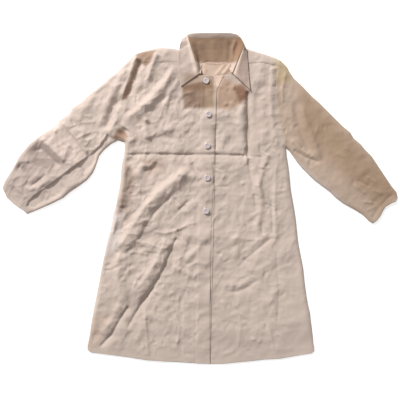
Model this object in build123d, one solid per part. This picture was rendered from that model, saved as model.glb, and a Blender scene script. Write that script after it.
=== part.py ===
from build123d import *
import math
import os

os.makedirs("parts", exist_ok=True)

# Artist smock lying flat on its back: +X toward the wearer's left hand,
# +Y toward the collar, +Z up out of the floor.  All lengths in mm.
# Each cloth ply is drawn as a thin plate so that it can be handled as a solid.

# ---------------------------------------------------------------- dimensions
CLOTH = 2.0            # plate thickness that stands for one ply
BACK_TOP = 2.0         # top of the back plate
INSIDE = 7.0           # free height inside the body and sleeves
FRONT_LOW = 9.0        # underside of the wearer's right front and the sleeves
FRONT_TOP = 11.0       # top of the wearer's right front and the sleeves
UNDERLAP = 0.3         # the wearer's left front lies this much lower
L_LOW = FRONT_LOW - UNDERLAP
L_TOP = FRONT_TOP - UNDERLAP
WALL = 4.0             # width of the folded side edges
HEM = 16.0             # depth of the turned hems
HEM_PLY = 1.0          # thickness of the turned ply
GAP = 0.3              # clearance between two bodies that hinge on each other
YOKE_DEPTH = 262.0     # Y of the seam between yoke and back panel
YOKE_FACING_PLY = 0.8

PLACKET_OUTER = 1.2
PLACKET_INTER = 0.4
PLACKET_FACING = 0.8
HOLE_LENGTH = 19.0
HOLE_WIDTH = 4.4

BUTTON_D = 15.2
BUTTON_T = 3.0
BUTTON_RECESS_D = 9.4
BUTTON_RECESS = 0.9
BUTTON_EYE_D = 1.9
BUTTON_EYE_PITCH = 3.4
BUTTON_LIFT = 0.4      # button underside above the buttonhole placket
SHANK_D = 3.4
THREAD_D = 1.1

COLLAR_PLY = 1.0
COLLAR_INTER = 0.6
COLLAR_SLOPE = 0.1005  # rise of the collar toward the back of the neck
COLLAR_FRONT_Z = 14.7  # top of the collar at its front end
COLLAR_TIP_Z = 11.6    # underside of the collar at its points
STAND_PLY = 2.0

BUTTONS = [(15.8, 313.0), (22.0, 225.0), (19.2, 142.0), (18.9, 57.2), (15.8, -30.2)]

# ---------------------------------------------------------------- fold lines
R_ARM = ((-171.0, 388.0), (-201.5, 150.0))
L_ARM = ((211.5, 373.5), (229.0, 136.0))
R_ELBOW = ((-366.4, 205.6), (-274.9, 97.0))
L_ELBOW = ((365.0, 208.3), (272.3, 82.4))
R_FRONT = ((3.3, 327.5), (-241.8, -411.3))
L_FRONT = ((77.5, 327.5), (256.4, -418.4))
R_ROLL = ((-33.8, 433.5), (-6.0, 331.5))
L_ROLL = ((115.9, 408.4), (84.9, 334.2))

# ---------------------------------------------------------------- outlines
R_SIDE = [(-199.9, 150.0), (-210.0, 75.8), (-223.3, -19.6), (-249.8, -123.0),
          (-271.0, -234.3), (-289.5, -329.7), (-300.1, -395.9)]
L_SIDE = [(228.7, 136.7), (237.8, 67.8), (245.8, -11.7), (259.0, -107.1),
          (272.3, -181.3), (280.2, -234.3), (285.5, -282.0), (293.5, -329.7),
          (304.1, -402.5)]
HEM_LINE = [(-300.1, -395.9), (-292.2, -405.2), (-241.8, -411.3), (-159.7, -422.4),
            (-93.4, -430.4), (-7.3, -433.8), (27.2, -436.5), (131.8, -432.0),
            (211.3, -425.6), (256.4, -418.4), (296.1, -411.0), (304.1, -402.5)]
R_SHOULDER = [(-53.7, 397.8), (-106.7, 403.1), (-133.2, 399.1), (-170.8, 388.0)]
L_SHOULDER = [(115.9, 396.4), (145.1, 393.8), (171.6, 385.8), (211.3, 373.5)]
BACK_NECK = [(-53.7, 397.8), (-15.8, 369.9), (-0.7, 363.3), (41.7, 358.0),
             (84.1, 363.3), (101.4, 369.9), (115.9, 396.4)]
R_YOKE_EDGE = [(-173.6, 366.0), (-106.7, 369.9), (-37.8, 364.6)]
L_YOKE_EDGE = [(113.3, 367.3), (163.6, 369.9), (212.5, 356.0)]

R_SLEEVE_TOP = [(-366.4, 205.6), (-347.8, 229.5), (-316.0, 258.6), (-276.3, 293.1),
                (-241.8, 322.2), (-204.7, 354.0), (-183.5, 376.6), (-170.0, 388.6)]
R_SLEEVE_UNDER = [(-199.0, 151.3), (-218.0, 156.6), (-236.5, 147.3), (-255.1, 131.4),
                  (-268.3, 115.5), (-274.9, 97.0)]
R_FORE_UNDER = [(-274.9, 97.0), (-278.9, 83.7), (-286.9, 67.8), (-300.1, 51.9),
                (-321.3, 36.0), (-345.2, 20.1), (-371.7, 1.6), (-414.1, -19.6),
                (-459.1, -38.2)]
R_CUFF = [(-459.1, -38.2), (-469.7, -27.6), (-493.6, -11.7), (-512.1, 4.2),
          (-525.4, 33.4)]
R_FORE_TOP = [(-525.4, 33.4), (-517.4, 49.3), (-506.8, 67.8), (-488.3, 99.6),
              (-472.4, 123.5), (-453.8, 144.7), (-430.0, 163.2), (-408.8, 179.1),
              (-384.9, 195.0), (-366.4, 205.6)]

L_SLEEVE_TOP = [(365.0, 208.3), (346.5, 226.8), (317.3, 258.6), (296.1, 274.5),
                (267.0, 306.3), (248.4, 322.2), (235.2, 343.4), (224.6, 360.7),
                (210.6, 374.4)]
L_SLEEVE_UNDER = [(226.0, 141.0), (245.8, 115.5), (256.4, 99.6), (272.3, 82.4)]
L_FORE_UNDER = [(272.3, 82.4), (285.5, 67.8), (322.6, 36.0), (359.7, 4.2),
                (380.9, -11.7), (410.1, -27.6), (431.3, -43.5), (457.8, -63.3)]
L_CUFF = [(457.8, -63.3), (473.7, -50.1), (489.6, -28.9), (505.5, -15.6),
          (524.0, 1.6), (525.4, 14.8)]
L_FORE_TOP = [(525.4, 14.8), (508.1, 36.0), (486.9, 67.8), (465.7, 99.6),
              (439.2, 131.4), (407.4, 163.2), (386.2, 185.8), (365.0, 208.3)]

PLACKET_TOP = [(2.0, 328.9), (32.5, 328.9), (44.4, 295.7)]
PLACKET_FREE = (26.6, -436.2)
PLACKET_SEAM_LOW = (-12.6, -433.6)
R_PANEL_EDGE = ((8.6, 328.9), (-7.3, -433.8))
BAND_EDGE = ((10.2, 328.0), (-5.9, -434.1))
BAND_SEAM = ((44.4, 290.4), (27.2, -436.5))

R_COLLAR = [(-33.8, 433.5), (-44.4, 429.6), (-52.3, 415.0), (-60.3, 364.6),
            (-51.0, 298.4), (-6.0, 331.5)]
L_COLLAR = [(115.9, 408.4), (122.6, 391.1), (126.5, 354.0), (132.6, 287.8),
            (84.9, 334.2)]
COLLAR_BACK = [(-33.8, 433.5), (-0.7, 437.2), (86.8, 437.2), (102.7, 430.9),
               (115.9, 408.4), (99.0, 366.5), (84.1, 360.0), (41.7, 354.8),
               (-0.7, 360.0), (-15.6, 366.5)]
STAND_LINE = [(-16.4, 369.9), (-0.7, 363.3), (41.7, 358.0), (84.1, 363.3), (100.0, 369.9)]


# ---------------------------------------------------------------- helpers
def shape(points):
    return Polygon(*points, align=None)


def beside(line, side, gap=GAP / 2):
    """Everything on one side of a line: +1 left of its direction, -1 right."""
    (ax, ay), (bx, by) = line
    length = math.hypot(bx - ax, by - ay)
    ux, uy = (bx - ax) / length, (by - ay) / length
    nx, ny = -uy * side, ux * side
    far = 3000.0
    p = (ax - ux * far + nx * gap, ay - uy * far + ny * gap)
    q = (bx + ux * far + nx * gap, by + uy * far + ny * gap)
    return shape([p, q, (q[0] + nx * far, q[1] + ny * far), (p[0] + nx * far, p[1] + ny * far)])


def band(points, width, side, outside=1.0):
    """A band along a polyline, on its left (+1) or right (-1), with a little to trim outside."""
    normals = []
    for (ax, ay), (bx, by) in zip(points[:-1], points[1:]):
        length = math.hypot(bx - ax, by - ay)
        normals.append((-(by - ay) / length * side, (bx - ax) / length * side))
    inner, outer = [], []
    for i, (x, y) in enumerate(points):
        before = normals[max(i - 1, 0)]
        after = normals[min(i, len(normals) - 1)]
        mx, my = before[0] + after[0], before[1] + after[1]
        size = math.hypot(mx, my)
        mx, my = mx / size, my / size
        reach = 1.0 / max(mx * after[0] + my * after[1], 0.5)
        inner.append((x + mx * reach * width, y + my * reach * width))
        outer.append((x - mx * reach * outside, y - my * reach * outside))
    return shape(outer + inner[::-1])


def plate(area, low, high):
    return Pos(0, 0, low) * extrude(area, amount=high - low, dir=(0, 0, 1))


def save(solid, name):
    solid = solid.clean() if hasattr(solid, "clean") else solid
    body = solid.solids()
    out = body[0] if len(body) == 1 else Compound(children=list(body))
    out.label = name
    export_step(out, f"parts/{name}.step")
    print(name, len(body), round(sum(s.volume for s in body) / 1000.0, 2), "cm3")


# ---------------------------------------------------------------- back
outline = (R_SIDE + HEM_LINE[1:] + L_SIDE[::-1][1:]
           + L_SHOULDER[::-1] + BACK_NECK[::-1][1:-1] + R_SHOULDER)
torso = shape(outline)
below_yoke = shape([(-900, YOKE_DEPTH), (900, YOKE_DEPTH), (900, -900), (-900, -900)])
above_yoke = shape([(-900, YOKE_DEPTH), (900, YOKE_DEPTH), (900, 900), (-900, 900)])
hem_band = band(HEM_LINE, HEM, 1) & torso

back_panel = plate(torso & below_yoke, 0, BACK_TOP)
back_panel += plate(hem_band, BACK_TOP, BACK_TOP + HEM_PLY)
save(back_panel, "back_panel")

r_yoke_area = shape(R_SHOULDER + R_YOKE_EDGE) & beside(R_ARM, 1)
l_yoke_area = shape(L_SHOULDER[::-1] + L_YOKE_EDGE) & beside(L_ARM, -1)
r_shoulder_fold = band(R_SHOULDER, WALL, 1) & r_yoke_area
l_shoulder_fold = band(L_SHOULDER, WALL, -1) & l_yoke_area
back_yoke = plate(torso & above_yoke, 0, BACK_TOP)
back_yoke += plate(r_shoulder_fold, BACK_TOP, FRONT_LOW) + plate(r_yoke_area, FRONT_LOW, FRONT_TOP)
back_yoke += plate(l_shoulder_fold, BACK_TOP, L_LOW) + plate(l_yoke_area, L_LOW, L_TOP)
save(back_yoke, "back_yoke")

inner = shape([(-130, YOKE_DEPTH + 12), (-150, 385), (-106, 391), (-60, 388), (-20, 362),
               (-2, 354), (42, 350), (86, 354), (104, 362), (121, 388), (150, 385),
               (190, 366), (170, YOKE_DEPTH + 12)])
save(plate(inner, BACK_TOP, BACK_TOP + YOKE_FACING_PLY), "back_yoke_facing")

# ---------------------------------------------------------------- side seams
side_hem_cut = plate(hem_band, 0, BACK_TOP + HEM_PLY)
save(plate(band(R_SIDE, WALL, 1) & torso, BACK_TOP, FRONT_LOW)
     - side_hem_cut - plate(hem_band, FRONT_LOW - HEM_PLY, FRONT_LOW), "right_side_seam")
save(plate(band(L_SIDE, WALL, -1) & torso, BACK_TOP, L_LOW)
     - side_hem_cut - plate(hem_band, L_LOW - HEM_PLY, L_LOW), "left_side_seam")

# ---------------------------------------------------------------- fronts
neck_r = [(3.3, 327.5), (-7.3, 327.5), (-24.5, 340.8), (-37.8, 364.6)]
right_area = shape(neck_r + R_YOKE_EDGE[::-1][1:] + R_SIDE + HEM_LINE[1:6] + [(8.6, 328.9)])
right_area -= shape(R_SHOULDER + R_YOKE_EDGE)
right_side = right_area & beside(R_FRONT, -1)
right_mid = right_area & beside(R_FRONT, 1)
r_hem = hem_band & right_area


def front(area, hem, low, high):
    return plate(area, low, high) + plate(area & hem, low - HEM_PLY, low)


save(front(right_side, hem_band, FRONT_LOW, FRONT_TOP), "right_front_side_panel")
save(front(right_mid, hem_band, FRONT_LOW, FRONT_TOP), "right_front_panel")

left_area = shape([(62.9, 327.5), (86.8, 327.5), (101.4, 343.4)] + L_YOKE_EDGE
                  + L_SIDE + HEM_LINE[::-1][1:6] + [(44.4, 290.4)])
left_area -= shape(L_SHOULDER[::-1] + L_YOKE_EDGE)
left_side = left_area & beside(L_FRONT, 1)
left_mid = left_area & beside(L_FRONT, -1)
save(front(left_side, hem_band, L_LOW, L_TOP), "left_front_side_panel")
save(front(left_mid, hem_band, L_LOW, L_TOP), "left_front_panel")

# ---------------------------------------------------------------- buttonhole placket
placket = shape(PLACKET_TOP + [PLACKET_FREE, PLACKET_SEAM_LOW]) & beside(R_FRONT, 1)
for x, y in BUTTONS:
    placket -= Pos(x, y) * Rot(0, 0, 88.8) * SlotOverall(HOLE_LENGTH, HOLE_WIDTH)
z = FRONT_TOP
save(plate(placket, z, z + PLACKET_FACING), "buttonhole_placket_facing")
z += PLACKET_FACING
narrow = placket & shape([(4.6, 326.0), (30.0, 326.0), (41.4, 294.5), (23.8, -433.0), (-9.8, -431.0)])
save(plate(narrow, z, z + PLACKET_INTER), "buttonhole_placket_interlining")
z += PLACKET_INTER
save(plate(placket, z, z + PLACKET_OUTER), "buttonhole_placket")
placket_top = z + PLACKET_OUTER

# ---------------------------------------------------------------- button band
band_area = shape([BAND_EDGE[0], (62.9, 327.5), BAND_SEAM[0], BAND_SEAM[1], BAND_EDGE[1]])
save(plate(band_area, L_LOW, L_LOW + PLACKET_FACING - 0.1), "button_band_facing")
inset = shape([(13.0, 325.0), (58.0, 325.0), (41.6, 289.0), (24.6, -433.4), (-3.0, -431.4)])
save(plate(inset, L_LOW + PLACKET_FACING - 0.1, L_LOW + PLACKET_FACING + 0.3), "button_band_interlining")
save(plate(band_area, L_LOW + PLACKET_FACING + 0.3, L_TOP), "button_band")

# ---------------------------------------------------------------- buttons
button_low = placket_top + BUTTON_LIFT
for number, (x, y) in enumerate(BUTTONS, start=1):
    disc = Pos(0, 0, BUTTON_T / 2) * Cylinder(BUTTON_D / 2, BUTTON_T)
    disc = fillet(disc.edges().filter_by(GeomType.CIRCLE), 0.9)
    disc -= Pos(0, 0, BUTTON_T - BUTTON_RECESS / 2 + 0.01) * Cylinder(BUTTON_RECESS_D / 2, BUTTON_RECESS + 0.02)
    posts = Pos(0, 0, -(button_low - L_TOP) / 2) * Cylinder(SHANK_D / 2, button_low - L_TOP)
    half = BUTTON_EYE_PITCH / 2
    floor = BUTTON_T - BUTTON_RECESS
    for ex in (-half, half):
        for ey in (-half, half):
            disc -= Pos(ex, ey, floor / 2) * Cylinder(BUTTON_EYE_D / 2, floor + 1)
    reach = half * math.sqrt(2.0)
    # the sewing thread: a wound shank below, four strands up through the eyes,
    # and a cross of two strands lying in the dish of the button
    pad = Pos(0, 0, -0.15) * Cylinder(reach + THREAD_D / 2 + 0.2, 0.3)
    posts += pad
    for ex in (-half, half):
        for ey in (-half, half):
            posts += Pos(ex, ey, floor / 2 + 0.1) * Cylinder(THREAD_D / 2, floor + 0.8)
    for turn in (45, -45):
        posts += Pos(0, 0, floor + 0.3) * Rot(0, 0, turn) * Box(2 * reach, THREAD_D - 0.3, 0.6)
    place = Pos(x, y, button_low)
    save(place * disc, f"button_{number}")
    save(place * posts, f"button_thread_{number}")


# ---------------------------------------------------------------- sleeves
def tube(area, edges, low=0.0, high=FRONT_TOP):
    solid = plate(area, low, low + CLOTH) + plate(area, high - CLOTH, high)
    for points, side in edges:
        solid += plate(band(points, WALL, side) & area, low + CLOTH, high - CLOTH)
    return solid


def sleeve(name, top, under, fore_under, cuff, fore_top, arm, arm_side, elbow, elbow_side, turn):
    upper = shape(top + under) & beside(arm, arm_side) & beside(elbow, elbow_side)
    save(tube(upper, [(top, -turn), (under, -turn)]), f"{name}_sleeve_upper")
    lower = shape(fore_under + cuff[1:] + fore_top[1:]) & beside(elbow, -elbow_side)
    solid = tube(lower, [(fore_under, -turn), (fore_top, -turn)])
    turned = band(cuff, HEM, -turn) & lower
    solid += plate(turned, CLOTH, CLOTH + HEM_PLY)
    solid += plate(turned, FRONT_LOW - HEM_PLY, FRONT_LOW)
    save(solid, f"{name}_sleeve_lower")


# right sleeve points run clockwise, left sleeve points anticlockwise
sleeve("right", R_SLEEVE_TOP, R_SLEEVE_UNDER, R_FORE_UNDER, R_CUFF, R_FORE_TOP,
       R_ARM, -1, R_ELBOW, 1, 1)
sleeve("left", L_SLEEVE_TOP, L_SLEEVE_UNDER, L_FORE_UNDER, L_CUFF, L_FORE_TOP,
       L_ARM, 1, L_ELBOW, -1, -1)


# ---------------------------------------------------------------- collar
def collar_z(y):
    return COLLAR_FRONT_Z + COLLAR_SLOPE * (y - 331.5)


COLLAR_T = 2 * COLLAR_PLY + COLLAR_INTER


def tilted(points, base, layers, names, cuts=()):
    """Stack of plies on a sloping plane; base gives the plane z = ax + by + c of the underside."""
    a, b, c = base
    normal = Vector(-a, -b, 1).normalized()
    origin = Vector(0, 0, c)
    plane = Plane(origin=origin, x_dir=Vector(1, 0, a).normalized(), z_dir=normal)
    rise = 0.0
    for (thick, inset), name in zip(layers, names):
        local = []
        for x, y in points:
            v = plane.to_local_coords(Vector(x, y, a * x + b * y + c))
            local.append((v.X, v.Y))
        area = shape(local)
        if inset:
            area = offset(area, amount=-inset, kind=Kind.INTERSECTION)
        solid = plane * (Pos(0, 0, rise) * extrude(area, amount=thick, dir=(0, 0, 1)))
        for cut in cuts:
            solid = solid & cut
        save(solid, name)
        rise += thick


def plane_through(p, q, r):
    a1, b1, z1 = q[0] - p[0], q[1] - p[1], q[2] - p[2]
    a2, b2, z2 = r[0] - p[0], r[1] - p[1], r[2] - p[2]
    det = a1 * b2 - a2 * b1
    a = (z1 * b2 - z2 * b1) / det
    b = (a1 * z2 - a2 * z1) / det
    return a, b, p[2] - a * p[0] - b * p[1]


plies = [(COLLAR_PLY, 0.0), (COLLAR_INTER, 2.5), (COLLAR_PLY, 0.0)]
back_base = (0.0, COLLAR_SLOPE, collar_z(0.0) - COLLAR_T * math.sqrt(1 + COLLAR_SLOPE ** 2))
above = 60.0
inside_rolls = (plate(beside(R_ROLL, 1), 0, above) & plate(beside(L_ROLL, -1), 0, above))
tilted(COLLAR_BACK, back_base, plies,
       ["collar_back_under", "collar_back_interlining", "collar_back_upper"], [inside_rolls])

for name, line, points, tip, side in (
        ("right", R_ROLL, R_COLLAR, (-51.0, 298.4), -1),
        ("left", L_ROLL, L_COLLAR, (132.6, 287.8), 1)):
    ends = [(x, y, collar_z(y) - COLLAR_T) for x, y in line]
    base = plane_through(ends[0], ends[1], (tip[0], tip[1], COLLAR_TIP_Z))
    outside = plate(beside(line, side), 0, above)
    tilted(points, base, plies,
           [f"{name}_collar_under", f"{name}_collar_interlining", f"{name}_collar_upper"], [outside])

# the stand that carries the back of the collar, sewn to the yoke at the neck
stand = plate(band(STAND_LINE, STAND_PLY, -1, 0.0), BACK_TOP, 40)
stand -= plate(inner, 0, BACK_TOP + YOKE_FACING_PLY)
under = Plane(origin=(0, 0, back_base[2]), x_dir=(1, 0, 0),
              z_dir=Vector(0, -COLLAR_SLOPE, 1).normalized())
stand -= under * (Pos(0, 0, 100) * Box(3000, 3000, 200))
stand = stand & inside_rolls
save(stand, "collar_stand")
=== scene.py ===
import math

import bpy
import numpy as np
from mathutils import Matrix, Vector


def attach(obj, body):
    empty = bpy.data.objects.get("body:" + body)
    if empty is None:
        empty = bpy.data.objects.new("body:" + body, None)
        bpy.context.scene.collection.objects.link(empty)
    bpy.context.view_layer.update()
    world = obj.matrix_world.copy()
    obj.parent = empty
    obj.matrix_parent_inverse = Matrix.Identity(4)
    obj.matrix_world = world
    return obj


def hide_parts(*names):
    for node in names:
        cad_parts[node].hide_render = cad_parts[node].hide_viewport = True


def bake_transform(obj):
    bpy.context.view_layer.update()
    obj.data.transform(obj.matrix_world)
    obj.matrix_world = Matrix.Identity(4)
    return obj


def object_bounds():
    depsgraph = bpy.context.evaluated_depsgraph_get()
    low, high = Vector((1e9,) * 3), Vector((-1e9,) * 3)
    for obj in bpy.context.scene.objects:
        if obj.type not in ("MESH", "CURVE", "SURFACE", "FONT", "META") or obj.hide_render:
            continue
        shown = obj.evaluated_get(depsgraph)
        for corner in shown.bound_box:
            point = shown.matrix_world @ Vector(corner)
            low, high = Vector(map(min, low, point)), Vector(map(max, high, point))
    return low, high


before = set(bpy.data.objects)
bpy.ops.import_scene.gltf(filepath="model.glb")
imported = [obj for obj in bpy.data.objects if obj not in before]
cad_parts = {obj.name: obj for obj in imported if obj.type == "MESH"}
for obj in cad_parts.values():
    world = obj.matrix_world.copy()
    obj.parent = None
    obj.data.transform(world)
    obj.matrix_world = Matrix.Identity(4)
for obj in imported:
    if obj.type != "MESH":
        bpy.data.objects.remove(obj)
CAD_LO, CAD_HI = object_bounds()

# The smock lies flat on its back.  Outlines are written on a square grid of 396.5 cells
# across the two cuffs, u to the right and v toward the hem; heights are in millimetres.
CELL = (CAD_HI.x - CAD_LO.x) * 1000.0 / 396.5
U0, V0 = 200.25, 199.6


def mm(p):
    p = np.asarray(p, float)
    return np.stack([(p[..., 0] - U0) * CELL, (V0 - p[..., 1]) * CELL], -1)


# ------------------------------------------------------------------ outlines
R_TOP = [(180, 49.5), (171, 48), (160, 47.5), (152, 49), (144, 51), (137, 53.3), (135, 54),
         (129, 60), (123, 66), (117, 72), (109, 78), (102, 84), (96, 89), (87, 96), (81, 102),
         (72, 108), (69, 113.5), (59.5, 120), (57, 125), (46, 131.5), (36.5, 138), (29, 144),
         (24, 150), (19, 156), (16, 162), (12.8, 168), (9, 174), (5, 180), (2, 187)]
R_CUFF = [(2, 187), (7, 198), (14, 204), (23, 210), (27, 214)]
R_UNDER = [(124.5, 142.5), (118, 140.5), (111, 144), (104, 150), (99, 156), (97, 162), (95, 168),
           (92, 174), (87, 180), (79, 186), (70, 192), (63, 198), (51, 204), (37, 210), (27, 214)]
R_SIDE = [(124.5, 142.5), (124.3, 150), (123.8, 156), (122, 162), (121, 170), (120.3, 180),
          (119, 190), (117, 198), (116, 206), (113, 214), (112, 222), (110, 231), (108, 238),
          (106, 246), (104, 256), (101.5, 268), (100, 276), (97.5, 290), (95, 302), (93, 312),
          (91, 324), (89.5, 334), (88, 342), (87.3, 350)]
HEM = [(87.3, 350), (90, 352.5), (109, 354.8), (128, 357.5), (146, 360.2), (165, 361.6),
       (180, 362.4), (197, 363.4), (209, 364.3), (224, 364), (238, 362.4), (252, 361.2),
       (264, 359.8), (280, 359), (289, 357.3), (303, 355), (312, 353.5), (314.5, 351.5)]
L_SIDE = [(286.3, 148.5), (287, 156), (288.5, 165), (290, 178), (291, 190), (292.5, 198),
          (294.3, 208), (296, 219), (297.2, 231), (298.5, 243), (301, 256), (303.4, 268),
          (305, 284), (306.5, 294), (308, 304), (310, 312), (311.5, 324), (312.8, 334),
          (313.6, 342), (314.5, 351.5)]
L_UNDER = [(286.3, 148.5), (289, 150.5), (293, 156), (297, 162), (302, 168), (308, 174),
           (314, 180), (322, 186), (330, 192), (336, 198), (344, 204), (355, 210), (363, 215),
           (369, 221), (373, 223.6)]
L_CUFF = [(398.2, 197.5), (395.8, 201.5), (391, 203.6), (386, 206.6), (383.6, 210),
          (380.5, 216), (377, 220.5), (373, 223.6)]
L_TOP = [(246.5, 48.5), (255, 51), (265, 54), (275, 57.5), (281, 60.5), (287, 66.5), (290, 72),
         (294, 78), (300.5, 84), (306.5, 90), (312, 96), (319, 102), (325, 108), (331, 114),
         (337, 120), (343, 126), (350.5, 132), (354, 138), (361, 144), (366, 150), (372, 156),
         (376, 162), (380, 168), (384, 174), (388, 180), (392, 186), (397, 192), (398.2, 197.5)]
R_ARMHOLE = [(136, 53.6), (132.5, 70), (127.5, 85), (123.5, 99), (121.5, 115), (122.5, 130), (124.5, 142.5)]
L_ARMHOLE = [(280.2, 60.0), (276.8, 75), (276, 95), (277.5, 112), (282, 130), (286.3, 148.5)]
NECK = [(180, 49.5), (187, 55), (194.3, 60), (200, 62.8), (208, 64), (216, 64.6), (224, 64), (232, 62.8),
        (238.5, 60), (243, 54), (246.5, 48.5)]
YOKE_V = 100.7
BUTTONS = [(206.21, 81.5), (208.55, 114.7), (207.5, 146.0), (207.38, 178.0), (206.21, 211.0)]


def smooth(x):
    x = np.clip(x, 0, 1)
    return x * x * (3 - 2 * x)


def arc(points):
    p = np.asarray(points, float)
    return np.concatenate([[0], np.cumsum(np.hypot(*(p[1:] - p[:-1]).T))])


def along(points, t):
    """Points at the fractions t of a polyline's length."""
    p = np.asarray(points, float)
    s = arc(p)
    t = np.asarray(t, float) * s[-1]
    return np.stack([np.interp(t, s, p[:, 0]), np.interp(t, s, p[:, 1])], -1)


def nearest(U, V, points):
    """Distance to a polyline, the side it is on (+1 toward the hem and the left side seam), and how far along it."""
    best = np.full(U.shape, 1e9)
    side = np.ones(U.shape)
    run = np.zeros(U.shape)
    total = 0.0
    for (ax, ay), (bx, by) in zip(points[:-1], points[1:]):
        dx, dy = bx - ax, by - ay
        size = math.hypot(dx, dy)
        px, py = U - ax, V - ay
        t = np.clip((px * dx + py * dy) / (size * size), 0, 1)
        d = np.hypot(px - t * dx, py - t * dy)
        closer = d < best
        best = np.where(closer, d, best)
        side = np.where(closer, np.where(0.56 * (px - t * dx) + 0.83 * (py - t * dy) > 0, 1.0, -1.0), side)
        run = np.where(closer, total + t * size, run)
        total += size
    return best, side, run, total


def inside(U, V, polygon):
    hit = np.zeros(U.shape, bool)
    for (ax, ay), (bx, by) in zip(polygon, polygon[1:] + polygon[:1]):
        hit ^= ((ay > V) != (by > V)) & (U < (bx - ax) * (V - ay) / (by - ay + 1e-12) + ax)
    return hit


def patch(U, V, polygon, soft):
    """1 well inside a polygon, 0 well outside it."""
    d = nearest(U, V, polygon + polygon[:1])[0]
    return smooth(0.5 + np.where(inside(U, V, polygon), d, -d) / (2 * soft))


TABLES = [np.random.RandomState(seed).rand(128, 128) for seed in range(40, 52)]


def noise(x, y, k):
    table = TABLES[k % len(TABLES)]
    xi, yi = np.floor(x).astype(int), np.floor(y).astype(int)
    fx, fy = smooth(x - xi), smooth(y - yi)
    a, b = table[xi % 128, yi % 128], table[(xi + 1) % 128, yi % 128]
    c, d = table[xi % 128, (yi + 1) % 128], table[(xi + 1) % 128, (yi + 1) % 128]
    return (a + (b - a) * fx) * (1 - fy) + (c + (d - c) * fx) * fy


def ridged(x, y, k):
    return 1 - np.abs(2 * noise(x, y, k) - 1)


def facets(x, y, k):
    """Flat facets meeting in sharp creases, as crumpled cloth has: 0 to 1."""
    wx = x + 1.1 * (noise(x * 0.45, y * 0.45, k + 3) - 0.5) + 0.35 * (noise(x * 1.3, y * 1.3, k + 4) - 0.5)
    wy = y + 1.1 * (noise(x * 0.45 + 9, y * 0.45, k + 5) - 0.5) + 0.35 * (noise(x * 1.3, y * 1.3 + 7, k + 6) - 0.5)
    table = TABLES[k % len(TABLES)]
    xi, yi = np.floor(wx).astype(int), np.floor(wy).astype(int)
    fx, fy = wx - xi, wy - yi
    a, b = table[xi % 128, yi % 128], table[(xi + 1) % 128, yi % 128]
    c, d = table[xi % 128, (yi + 1) % 128], table[(xi + 1) % 128, (yi + 1) % 128]
    flip = (xi + yi) % 2 == 0
    one = np.where(fx + fy < 1, a + (b - a) * fx + (c - a) * fy, d + (c - d) * (1 - fx) + (b - d) * (1 - fy))
    two = np.where(fx > fy, a + (b - a) * fx + (d - b) * fy, a + (c - a) * fy + (d - c) * fx)
    return np.where(flip, one, two)


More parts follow.
